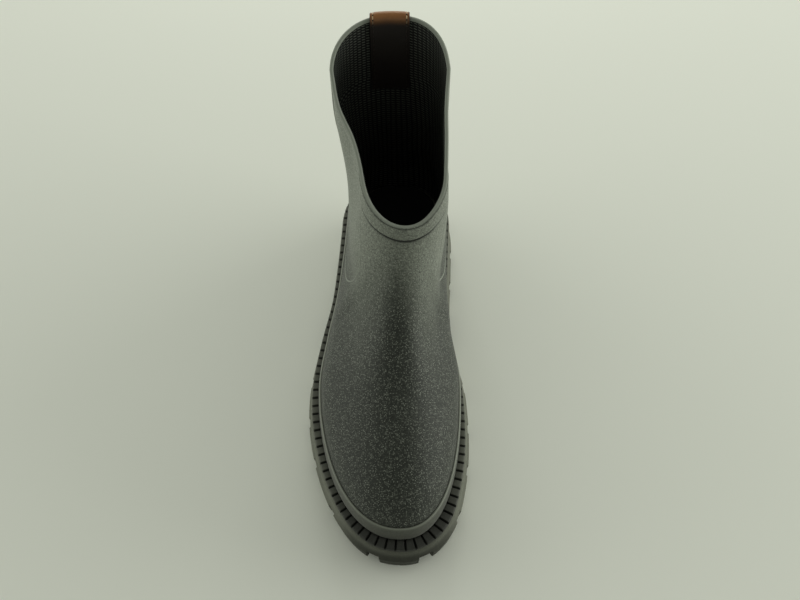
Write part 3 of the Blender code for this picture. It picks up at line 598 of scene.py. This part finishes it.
for share, height, cut in WELT:
    out = WELT_CLEAR + (reach - WELT_CLEAR) * share
    x, y = edge_x + out_x * out, edge_y + out_y * out
    welt_grid.append(np.stack([x, y, seat(y) + height - rib_groove * cut], axis=-1))
# Painted shade: in the grooves, against the foxing under the upper's overhang, and round the toe
groove_shade = np.exp(-((phase / GROOVE_SHADE_HALF) ** 4))
welt_toe_shade = WELT_TOE_SHADE * smooth((edge_y - WELT_TOE_SHADE_START) / WELT_TOE_SHADE_RUN)
welt_inner_shade = WELT_INNER_SHADE * (1 - smooth(np.array(WELT)[:, 0] / WELT_INNER_SHADE_SHARE))
welt = put_grid(
    "ribbed_welt", np.array(welt_grid), wrap_rows=True, crease=0.9,
    groove=np.maximum(np.maximum(groove_shade, welt_toe_shade), welt_inner_shade[:, None]))
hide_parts("welt")

# Moulded rubber, darker than the sole's wall and a little paler on the ribs, with painted shade that makes it
# nearly black in its grooves.
# Its grain is drawn at 1 mm where the real one is near 0.3 mm.
WELT_CLOUD_MM, WELT_GRAIN_MM = 5.0, 1.0
ledge, tree, shader = new_material("dark_welt_rubber", Roughness=0.62, IOR=1.5)
where = node(tree, "TexCoord").outputs["Object"]
tone = clouded(tree, where, WELT_CLOUD_MM, 4.0, 0.7, "#34362d", "#54564b")
# Painted shade from the groove attribute, towards near black
groove = node(tree, "Attribute", attribute_name="groove")
lined = node(tree, "Mix", {"Factor": groove.outputs["Fac"], 6: tone, 7: linear("#0c0d0a")}, data_type="RGBA")
grain = node(tree, "TexNoise", {"Vector": where, "Scale": 1000 / WELT_GRAIN_MM, "Detail": 3.0})
fine = node(tree, "Bump", {"Height": grain, "Strength": 0.3, "Distance": 0.0005})
feed(tree, shader, {"Base Color": lined, "Normal": fine})
welt.data.materials.append(ledge)


# Outsole
# Thick rubber sole: lugs that lean out at the sides, slots between them that run on as chevron grooves,
# an arch under the waist, and a sprung toe. It is moulded in one piece and bonded under the welt.
# Shares of each side's length from toe to heel, for the slots' middles
SLOTS = {
    "lateral": (0.045, 0.159, 0.264, 0.355, 0.446, 0.700, 0.790, 0.880, 0.965),
    "medial": (0.038, 0.126, 0.223, 0.317, 0.411, 0.690, 0.780, 0.875, 0.965),
}
SLOT_ROWS = np.array([0.9, 1.7, 2.35, 2.65, 2.95, 3.27, 3.57, 4.2, 5.6])
SLOT_HALF, SLOT_TOP, SLOT_LENGTH = 3.42, 12.9, 19.0
TREAD_HALF, TREAD_TOP, TREAD_WALL = 2.5, 6.5, 0.3
CHEVRON, TOE_CHEVRON, CHEVRON_FULL = 7.0, -5.0, 0.12
WAIST, WAIST_STRAIGHT, WAIST_FADE = 0.573, 0.06, 0.06
LUG_STEP = 1.1
ARCH_BACK, ARCH_FRONT, ARCH_HEIGHT, ARCH_SLOPE, ARCH_FOOT = 94.0, 131.0, 10.0, 6.0, 4.0
TOE_SPRING, TOE_SPRING_START, HEEL_BEVEL, HEEL_BEVEL_START, SOLE_REACH = 5.5, 232.0, 2.5, 16.0, 12.0
SIDE = {"height": (0.0, 0.5, 11.0, 14.5), "flare": (1.4, 1.85, 3.2, 1.7)}
SIDE_HEIGHTS = (0.5, 3.0, 6.0, 9.0, 10.6, 11.0, 11.6, 12.8, 14.5)
WIDEST_FLARE = 3.2
# Share of the way from the lug's shoulder to the top bevel, and flare
UPPER_SIDE = ((0.25, 1.45), (0.5, 1.2), (0.75, 0.95), (1.0, 0.7))
TOP_BEVEL = 1.2
SLOT_COLUMNS = (0.0, 0.02, 0.08, 0.2, 0.4, 0.7)
TREAD_COLUMNS = (0.0, 0.2, 0.4, 0.6, 0.8)
SOLE_SHADE_START, SOLE_SHADE_RUN, SOLE_SHADE_TOP, SOLE_SHADE_TOP_RISE, SOLE_SHADE_ABOVE = 250.0, 30.0, 15.0, 6.0, 0.5


def tread_level(forward):
    """Height of the lugs' lower faces: flat, with squared rises at the toe and heel ends."""
    toe = np.clip((forward - TOE_SPRING_START) / (TOE_END + SOLE_REACH - TOE_SPRING_START), 0.0, None)
    heel = np.clip((HEEL_BEVEL_START - forward) / (HEEL_BEVEL_START + SOLE_REACH), 0.0, None)
    return TOE_SPRING * toe**2 + HEEL_BEVEL * heel**2


def side_run(side):
    """Travel along one side of the outline from toe to heel, with place, normal and ledge width there."""
    walk = np.arange(len(outline) // 2 + 1) * (1 if side == "lateral" else -1)
    values = np.column_stack([outline, outline_normal, margin])[walk]
    steps = np.linalg.norm(np.diff(values[:, :2], axis=0), axis=1)
    return np.concatenate([[0.0], np.cumsum(steps)]), values


def sole_rows():
    """Shares of the two sides' lengths at which each row of the sole ends, and its distance from a slot's
    middle. Rows crowd at the walls of every slot, and run evenly over the lugs between."""
    near = np.concatenate([-SLOT_ROWS[::-1], SLOT_ROWS])
    lengths = [side_run(side)[0][-1] for side in ("lateral", "medial")]
    starts, shares, away = np.zeros(2), [np.zeros((1, 2))], [[np.inf]]
    for slot in [*zip(SLOTS["lateral"], SLOTS["medial"]), None]:
        rows = np.ones((1, 2)) if slot is None else np.array(slot) + near[:, None] / lengths
        steps = int(np.ceil((rows[0, 0] - starts[0]) * lengths[0] / LUG_STEP))
        share = np.linspace(0.0, 1.0, steps + 1)[1:-1, None]
        shares += [starts * (1 - share) + rows[0] * share, rows]
        away += [np.full(len(share), np.inf), np.full(1, np.inf) if slot is None else np.abs(near)]
        starts = rows[-1]
    return np.concatenate(shares), np.concatenate(away)


sole_share, slot_away = sole_rows()
sides = {}
for side, share in (("lateral", sole_share[:, 0]), ("medial", sole_share[:, 1])):
    run, values = side_run(side)
    sides[side] = np.stack([np.interp(share * run[-1], run, column) for column in values.T], axis=-1)


def sole_edge(side, flare):
    """Plan points of the sole's side: the last's edge moved out by the ledge and a flare."""
    edge = sides[side]
    return edge[:, :2] + edge[:, 2:4] * (edge[:, 4] + flare)[:, None]


def tread_rise(forward, inward):
    """Height of the underside: tread level, slots and grooves by distance from their middle, and the arch."""
    half = SLOT_HALF + (TREAD_HALF - SLOT_HALF) * inward
    top = SLOT_TOP + (TREAD_TOP - SLOT_TOP) * inward
    cut = top * np.clip((half - slot_away) / TREAD_WALL + 0.5, 0.0, 1.0)
    ramp = np.minimum(forward - ARCH_BACK, ARCH_FRONT - forward) / ARCH_SLOPE
    arch = np.clip(ramp, -1.0, 1.0) * (ARCH_HEIGHT + ARCH_FOOT) - ARCH_FOOT
    return np.maximum(tread_level(forward) + cut, arch)


low_rise, low_edge, deep_edge = {}, {}, {}
for side in sides:
    floor_edge = sole_edge(side, SIDE["flare"][0])
    low_rise[side] = tread_rise(floor_edge[:, 1], 0.0)
    above_tread = low_rise[side] - tread_level(floor_edge[:, 1])
    low_edge[side] = sole_edge(side, np.interp(above_tread, SIDE["height"], SIDE["flare"]))
    deep_edge[side] = sole_edge(side, WIDEST_FLARE - SLOT_LENGTH)
bend = TOE_CHEVRON + (CHEVRON - TOE_CHEVRON) * smooth(sole_share[:, 0] / CHEVRON_FULL)
bend *= smooth((np.abs(sole_share[:, 0] - WAIST) - WAIST_STRAIGHT) / WAIST_FADE)
groove_middle = (deep_edge["lateral"] + deep_edge["medial"]) / 2 + np.stack([0 * bend, bend], axis=-1)
knees = (low_edge["lateral"], deep_edge["lateral"], groove_middle, deep_edge["medial"], low_edge["medial"])
half_way = np.concatenate([SLOT_COLUMNS, 1 + np.array(TREAD_COLUMNS)])
underside = []
for station in [*half_way, 2.0, *(4.0 - half_way[::-1])]:
    first = min(int(station), 3)
    plan = knees[first] + (knees[first + 1] - knees[first]) * (station - first)
    rise = tread_rise(plan[:, 1], min(station, 4.0 - station, 1.0))
    rise = low_rise["lateral"] if station == 0.0 else low_rise["medial"] if station == 4.0 else rise
    underside.append(np.column_stack([plan, rise]))


def sole_side(side):
    """Columns up one side of the sole: over the lug's lean to the shoulder, then straight to the bevel and
    the top edge. Where a slot or the arch is higher than a level, the level stays on its lower edge."""
    columns = []
    low = np.column_stack([low_edge[side], low_rise[side]])
    for height in SIDE_HEIGHTS:
        plan = sole_edge(side, np.interp(height, SIDE["height"], SIDE["flare"]))
        rise = tread_level(plan[:, 1]) + height
        under = (rise < low_rise[side])[:, None]
        columns.append(np.where(under, low, np.column_stack([plan, rise])))
    for share, flare in UPPER_SIDE:
        plan = sole_edge(side, flare)
        shoulder, bevel = tread_level(plan[:, 1]) + SIDE_HEIGHTS[-1], seat(plan[:, 1]) - TOP_BEVEL
        columns.append(np.column_stack([plan, shoulder + (bevel - shoulder) * share]))
    plan = sole_edge(side, 0.0)
    return columns + [np.column_stack([plan, seat(plan[:, 1])])]


sole_grid = np.stack(underside + sole_side("medial") + sole_side("lateral")[::-1], axis=1)
above_ground = sole_grid[..., 2] - tread_level(sole_grid[..., 1])
# Painted shade over the toe end of the sole, half as strong high up its wall
toe_shade = smooth((sole_grid[..., 1] - SOLE_SHADE_START) / SOLE_SHADE_RUN)
toe_shade *= 1 - SOLE_SHADE_ABOVE * smooth((above_ground - SOLE_SHADE_TOP) / SOLE_SHADE_TOP_RISE)
sole = put_grid("lugged_outsole", sole_grid, crease=0.5, low=toe_shade)
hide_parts("outsole")

# Moulded sole rubber: satin grey-green skin with soft clouding and a fine grain from the mould, duller
# round the toe, where painted shade darkens it. The grain is drawn at 1.1 mm where the real one is near 0.3 mm.
SOLE_CLOUD_MM, SOLE_GRAIN_MM, SOLE_SHADE_SHARE = 14.0, 1.1, 0.75
sole_rubber, tree, shader = new_material("moulded_sole_rubber", IOR=1.5)
where = node(tree, "TexCoord").outputs["Object"]
tone = clouded(tree, where, SOLE_CLOUD_MM, 5.0, 0.6, "#64665a", "#7b7d71")
grain = node(tree, "TexNoise", {"Vector": where, "Scale": 1000 / SOLE_GRAIN_MM, "Detail": 3.0})
fine_tone = node(tree, "Mix", {"Factor": grain, 6: linear("#43453b"), 7: tone}, data_type="RGBA")
# Painted shade darkens the toe through the low attribute, which also makes it rougher
low = node(tree, "Attribute", attribute_name="low")
shade_share = node(tree, "Math", {0: low.outputs["Fac"], 1: SOLE_SHADE_SHARE}, operation="MULTIPLY")
toe_shaded = node(tree, "Mix", {"Factor": shade_share, 6: fine_tone, 7: linear("#191a15")}, data_type="RGBA")
dulled = node(tree, "MapRange", {"Value": low.outputs["Fac"], "To Min": 0.55, "To Max": 0.95})
fine = node(tree, "Bump", {"Height": grain, "Strength": 0.3, "Distance": 0.0005})
feed(tree, shader, {"Base Color": toe_shaded, "Roughness": dulled, "Normal": fine})
sole.data.materials.append(sole_rubber)


# Footbed
# Cushioned insole covered with black textile: a shallow cup that lies loose on the sole inside the boot, cut
# to the last's lower edge.
FOOTBED_INSET, FOOTBED_HALF = 3.4, 90
FOOTBED_UNDER, FOOTBED_MIDDLE = 0.3, 4.3
# Share of the half-width and height above the sole, over the top from the inner edge to the middle
FOOTBED_EDGE = ((1.0, 2.6), (0.992, 3.7), (0.97, 4.6), (0.92, 5.0), (0.8, 4.9), (0.6, 4.6), (0.35, 4.4))
footbed_loop, footbed_normal = edge_outline(2 * FOOTBED_HALF)
footbed_plan = footbed_loop - footbed_normal * FOOTBED_INSET
outer_edge = footbed_plan[np.arange(FOOTBED_HALF + 1)]
inner_edge = footbed_plan[-np.arange(FOOTBED_HALF + 1)]
profile = [(share, FOOTBED_UNDER) for share in (-1.0, 0.0, 1.0)]
profile += [*FOOTBED_EDGE, (0.0, FOOTBED_MIDDLE)]
profile += [(-share, height) for share, height in FOOTBED_EDGE[::-1]]
footbed_grid = []
for share, height in profile:
    plan = (outer_edge + inner_edge) / 2 + (inner_edge - outer_edge) / 2 * share
    footbed_grid.append(np.column_stack([plan, seat(plan[:, 1]) + height]))
footbed = put_grid("textile_footbed", np.stack(footbed_grid, axis=1), crease=1.0)
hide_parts("insole")

# Plain-woven black polyester on foam: a grid of threads, drawn at 1.2 mm where the real one is near 0.6 mm.
WEAVE_MM = 1.2
threads = 2 * np.pi * 1000 / WEAVE_MM
textile, tree, shader = new_material("black_footbed_textile", Roughness=0.9, IOR=1.5)
where = node(tree, "TexCoord").outputs["Object"]
apart = node(tree, "SeparateXYZ", {"Vector": where})
warp = node(tree, "Math", {0: apart.outputs["X"], 1: threads}, operation="MULTIPLY")
weft = node(tree, "Math", {0: apart.outputs["Y"], 1: threads}, operation="MULTIPLY")
warp_wave = node(tree, "Math", {0: warp}, operation="SINE")
weft_wave = node(tree, "Math", {0: weft}, operation="SINE")
thread = node(tree, "Math", {0: warp_wave, 1: weft_wave}, operation="MULTIPLY")
over_under = node(tree, "MapRange", {"Value": thread, "From Min": -1.0, "From Max": 1.0})
tone = node(tree, "Mix", {"Factor": over_under, 6: linear("#080908"), 7: linear("#20221f")}, data_type="RGBA")
woven = node(tree, "Bump", {"Height": over_under, "Strength": 0.5, "Distance": 0.0003})
feed(tree, shader, {"Base Color": tone, "Normal": woven})
footbed.data.materials.append(textile)


# Pull tab
# Strip of tan leather folded over the back of the collar and stitched along both edges through the rubber.
# Its faces are pressed in a little along the two seams.
TAB_WIDTH, TAB_THICK, TAB_CENTRE = 24.5, 1.8, 0.2
TAB_INSIDE, TAB_OUTSIDE, TAB_CLEAR, TAB_BACK_HEIGHT = 54.0, 46.0, 0.4, 200.0
SEAM_AT, SEAM_SINK, SEAM_SINK_HALF, SEAM_PITCH = 10.4, 0.25, 0.8, 3.4
TAB_FLAT, TAB_FLAT_POINTS = 0.96, 45
OUTER_ROWS, FOLD_ROWS, INNER_ROWS = 31, 25, 36
# Share of the half-width and of the thickness, round the strap's edge
TAB_EDGE = ((0.985, 0.93), (1.0, 0.7), (1.0, 0.3), (0.985, 0.07))
tab_radius = WHOLE_WALL / 2 + TAB_CLEAR
tab_middle = -WHOLE_WALL / 2
tab_fold = np.pi * (tab_radius + TAB_THICK)
tab_length = TAB_OUTSIDE + tab_fold + TAB_INSIDE
tab_rim = level(back_line(TAB_BACK_HEIGHT), *COLLAR_LINE)


def strap(travel, across, lift):
    """Points of the strap: travel runs up the outside, round half a circle over the rim and down the inside,
    and lift is the distance from its under face. Legs and fold follow the rounded back of the shaft."""
    travel, across, lift = np.broadcast_arrays(travel, across, lift)
    turn = np.clip((travel - TAB_OUTSIDE) / tab_fold, 0.0, 1.0) * np.pi
    leg = np.minimum(travel - TAB_OUTSIDE, 0.0) + np.minimum(TAB_OUTSIDE + tab_fold - travel, 0.0)
    wall = tab_rim + leg
    back = back_line(wall)
    beside = across - centre_line(back, wall)
    forward = {}
    for side, power in HEEL_ROUND.items():
        half = body_half_width(np.full(wall.shape, HEEL_STATION), wall, side)
        share = np.clip(np.abs(beside) / half, 0.0, 1.0)
        forward[side] = HEEL_STATION - (HEEL_STATION - back) * (1 - share**power) ** (1 / power)
    offset = tab_middle + (tab_radius + lift) * np.cos(turn)
    place = np.where(beside < 0, forward["lateral"], forward["medial"]) - offset
    return np.stack([across, place, wall + (tab_radius + lift) * np.sin(turn)], axis=-1)


flat_share = np.linspace(-TAB_FLAT, TAB_FLAT, TAB_FLAT_POINTS)
edge_share, edge_lift = np.array(TAB_EDGE).T
section_share = np.concatenate([flat_share, edge_share, flat_share[::-1], -edge_share[::-1]])
section_lift = np.concatenate(
    [np.ones_like(flat_share), edge_lift, np.zeros_like(flat_share), edge_lift[::-1]])
section_across, section_lift = section_share * TAB_WIDTH / 2, section_lift * TAB_THICK
on_face = section_lift > TAB_THICK / 2
section_lift -= SEAM_SINK * bump(np.abs(section_across) - SEAM_AT, SEAM_SINK_HALF) * on_face
outer_rows = np.linspace(0.0, TAB_OUTSIDE, OUTER_ROWS)[:-1]
fold_rows = TAB_OUTSIDE + np.linspace(0.0, tab_fold, FOLD_ROWS)
inner_rows = np.linspace(fold_rows[-1], tab_length, INNER_ROWS)[1:]
tab_rows = np.concatenate([outer_rows[:1], outer_rows, fold_rows, inner_rows, inner_rows[-1:]])
lift_rows = np.tile(section_lift, (len(tab_rows), 1))
lift_rows[[0, -1]] = TAB_THICK / 2
tab_grid = strap(tab_rows[:, None], TAB_CENTRE + section_across[None, :], lift_rows)
uv_across = np.append(section_across, section_across[0])
tab_uv = np.stack(np.broadcast_arrays(uv_across[None, :], tab_rows[:, None]), axis=-1)
tab = put_grid("leather_tab", tab_grid, uv=tab_uv, crease=0.8)
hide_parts("pull_tab")

# Vegetable-tanned leather: warm tan with fine pores, dark burnished edges and awl holes between stitches,
# and painted shade that darkens the inner leg. Pores are drawn at 0.9 mm where real ones are near 0.3 mm.
HIDE_CLOUD_MM, PORE_MM, HOLE_MM, HOLE_EDGE_MM = 6.0, 0.9, 0.35, 0.7
BURNISH_START, BURNISH_FULL = 11.2, 12.2
LEG_SHADE_START, LEG_SHADE_FULL = TAB_OUTSIDE + 0.5 * tab_fold, TAB_OUTSIDE + tab_fold + 4.0
leather, tree, shader = new_material("tan_leather", Roughness=0.5, IOR=1.5)
where = node(tree, "TexCoord").outputs["Object"]
tone = clouded(tree, where, HIDE_CLOUD_MM, 5.0, 0.65, "#7d4e29", "#a9733f")
pores = node(tree, "TexVoronoi", {"Vector": where, "Scale": 1000 / PORE_MM})
cloth = node(tree, "UVMap", uv_map="cloth")
apart = node(tree, "SeparateXYZ", {"Vector": cloth.outputs["UV"]})
off_axis = node(tree, "Math", {0: apart.outputs["X"]}, operation="ABSOLUTE")
burnish = node(
    tree, "MapRange", {"Value": off_axis, "From Min": BURNISH_START, "From Max": BURNISH_FULL},
    interpolation_type="SMOOTHSTEP")
edged = node(tree, "Mix", {"Factor": burnish, 6: tone, 7: linear("#3a1c0b")}, data_type="RGBA")
beside = node(tree, "Math", {0: off_axis, 1: SEAM_AT}, operation="SUBTRACT")
from_hole = node(tree, "Math", {0: apart.outputs["Y"], 1: SEAM_PITCH / 2}, operation="ADD")
along_seam = node(tree, "Math", {0: from_hole, 1: SEAM_PITCH / 2}, operation="PINGPONG")
away = node(tree, "CombineXYZ", {"X": beside, "Y": along_seam})
hole_distance = node(tree, "VectorMath", {0: away}, operation="LENGTH")
hole = node(
    tree, "MapRange",
    {"Value": hole_distance, "From Min": HOLE_MM, "From Max": HOLE_EDGE_MM, "To Min": 1.0, "To Max": 0.0},
    interpolation_type="SMOOTHSTEP")
holed = node(tree, "Mix", {"Factor": hole, 6: edged, 7: linear("#160b05")}, data_type="RGBA")
# Painted shade over the inner leg, from the fold down
inner_leg_shade = node(
    tree, "MapRange", {"Value": apart.outputs["Y"], "From Min": LEG_SHADE_START, "From Max": LEG_SHADE_FULL},
    interpolation_type="SMOOTHSTEP")
leg_shaded = node(tree, "Mix", {"Factor": inner_leg_shade, 6: holed, 7: linear("#150d0a")}, data_type="RGBA")
fine = node(tree, "Bump", {"Height": pores.outputs["Distance"], "Strength": 0.25, "Distance": 0.0004})
feed(tree, shader, {"Base Color": leg_shaded, "Normal": fine})
tab.data.materials.append(leather)


# Stitches
# Two seams of pale waxed thread that hold the tab, one stitch between each pair of holes, along both edges.
# On the inner leg the thread is painted dark as shade.
STITCH_HALF, STITCH_RADIUS, STITCH_POWER, STITCH_PROUD = 1.15, 0.36, 0.7, 0.12
STITCH_ROWS, STITCH_SIDES = 7, 6
STITCH_SHADE_START, STITCH_SHADE_RUN = TAB_OUTSIDE + 0.7 * tab_fold, 6.0
stitch_middle = SEAM_PITCH * np.arange(1, int(tab_length / SEAM_PITCH) + 1)
stitch_turn = np.linspace(0.0, np.pi, STITCH_ROWS)
stitch_run = -np.cos(stitch_turn) * STITCH_HALF
stitch_fat = np.sin(stitch_turn) ** STITCH_POWER * STITCH_RADIUS
ring_turn = np.linspace(0.0, 2 * np.pi, STITCH_SIDES, endpoint=False)
stitch_lift = TAB_THICK - SEAM_SINK + STITCH_PROUD + stitch_fat[:, None] * np.sin(ring_turn)
stitch_across = TAB_CENTRE + stitch_fat[:, None] * np.cos(ring_turn)
stitch_travel = stitch_middle[:, None, None] + stitch_run[None, :, None]
seams = [strap(stitch_travel, stitch_across + seam, stitch_lift) for seam in (-SEAM_AT, SEAM_AT)]
stitch_grid = np.concatenate(seams).reshape(-1, STITCH_SIDES, 3)
# Painted shade on the stitches past the fold, down the inner leg
stitch_shade = smooth((stitch_middle - STITCH_SHADE_START) / STITCH_SHADE_RUN)
shade_rows = np.tile(np.repeat(stitch_shade, STITCH_ROWS), len(seams))
stitches = put_grid(
    "tab_stitches", stitch_grid, shape_rows=STITCH_ROWS, crease=1.5,
    inner=np.tile(shade_rows[:, None], (1, STITCH_SIDES)))

# Waxed linen thread: pale straw colour, with a fine twist along each stitch.
TWIST_MM = 0.6
waxed_thread, tree, shader = new_material("waxed_linen_thread", Roughness=0.55, IOR=1.5)
where = node(tree, "TexCoord").outputs["Object"]
tone = clouded(tree, where, TWIST_MM, 2.0, 0.5, "#a98a63", "#e2cba6")
# Painted shade on the stitches of the inner leg
inner = node(tree, "Attribute", attribute_name="inner")
thread_shaded = node(
    tree, "Mix", {"Factor": inner.outputs["Fac"], 6: tone, 7: linear("#1f1610")}, data_type="RGBA")
feed(tree, shader, {"Base Color": thread_shaded})
stitches.data.materials.append(waxed_thread)


# Floor, light and camera
# Plain pale studio floor. The light is soft and low from all sides under a dark ceiling, with a lamp behind
# and a large one far out at each side. The camera looks down on the toe from in front.
FLOOR_HALF = 4.0
floor_mesh = bpy.data.meshes.new("floor")
corners = [(x * FLOOR_HALF, y * FLOOR_HALF, 0.0) for x, y in ((-1, -1), (1, -1), (1, 1), (-1, 1))]
floor_mesh.from_pydata(corners, [], [(0, 1, 2, 3)])
floor = bpy.data.objects.new("floor", floor_mesh)
bpy.context.scene.collection.objects.link(floor)
paper, tree, shader = new_material("pale_paper", Roughness=0.8, Base_Color=linear("#eef0e8"))
floor_mesh.materials.append(paper)

world = bpy.data.worlds.new("studio")
bpy.context.scene.world = world
world.use_nodes = True
tree = world.node_tree
sky = tree.nodes["Background"]
upward = node(tree, "SeparateXYZ", {"Vector": node(tree, "TexCoord").outputs["Generated"]})
ceiling = node(
    tree, "MapRange",
    {"Value": upward.outputs["Z"], "From Min": 0.25, "From Max": 0.8, "To Min": 0.86, "To Max": 0.34},
    interpolation_type="SMOOTHSTEP")
behind = node(
    tree, "MapRange",
    {"Value": upward.outputs["Y"], "From Min": -0.9, "From Max": 0.1, "To Min": 0.42, "To Max": 1.0},
    interpolation_type="SMOOTHSTEP")
glow = node(tree, "Math", {0: ceiling, 1: behind}, operation="MULTIPLY")
feed(tree, sky, {"Color": linear("#fbfff2"), "Strength": glow})

LAMP_COLOUR = (0.98, 1.0, 0.93)


def lamp(name, place, aim, width, height, power):
    """Area lamp at a place, turned to an aim point."""
    light = bpy.data.lights.new(name, "AREA")
    light.shape, light.size, light.size_y, light.energy = "RECTANGLE", width, height, power
    light.color = LAMP_COLOUR
    made = bpy.data.objects.new(name, light)
    bpy.context.scene.collection.objects.link(made)
    made.location = place
    made.rotation_euler = (Vector(aim) - Vector(place)).to_track_quat("-Z", "Y").to_euler()


lamp("lamp_back", (0.0, 1.1, 0.5), (0.0, 0.4, 0.0), 0.6, 0.4, 3.2)
lamp("lamp_outer_side", (-1.9, 0.5, 0.42), (0.0, 0.05, 0.1), 2.4, 0.6, 12.0)
lamp("lamp_inner_side", (1.85, 0.3, 0.44), (0.0, 0.0, 0.1), 2.0, 0.6, 20.0)

# Focal length in pixels of a picture 800 wide; place and aim in the boot's millimetres, roll in degrees
FOCAL_PIXELS, PICTURE_WIDTH, SENSOR_WIDTH = 950, 800, 36.0
CAMERA_AT, CAMERA_AIM, CAMERA_ROLL = (5.0, 461.95, 605.8), (5.0, 133.4, 80.0), -0.5
camera = bpy.data.cameras.new("camera")
camera.sensor_fit, camera.sensor_width = "HORIZONTAL", SENSOR_WIDTH
camera.lens = FOCAL_PIXELS / PICTURE_WIDTH * SENSOR_WIDTH
camera_object = bpy.data.objects.new("camera", camera)
bpy.context.scene.collection.objects.link(camera_object)
place, aim = (Vector(point) for point in placed([CAMERA_AT, CAMERA_AIM]))
back = (place - aim).normalized()
right = Vector((0, 0, 1)).cross(back).normalized()
over = back.cross(right)
roll = np.radians(CAMERA_ROLL)
right, over = right * np.cos(roll) + over * np.sin(roll), over * np.cos(roll) - right * np.sin(roll)
camera_object.matrix_world = Matrix((
    (right.x, over.x, back.x, place.x), (right.y, over.y, back.y, place.y),
    (right.z, over.z, back.z, place.z), (0, 0, 0, 1)))
bpy.context.scene.camera = camera_object
bpy.context.scene.view_settings.view_transform = "Standard"
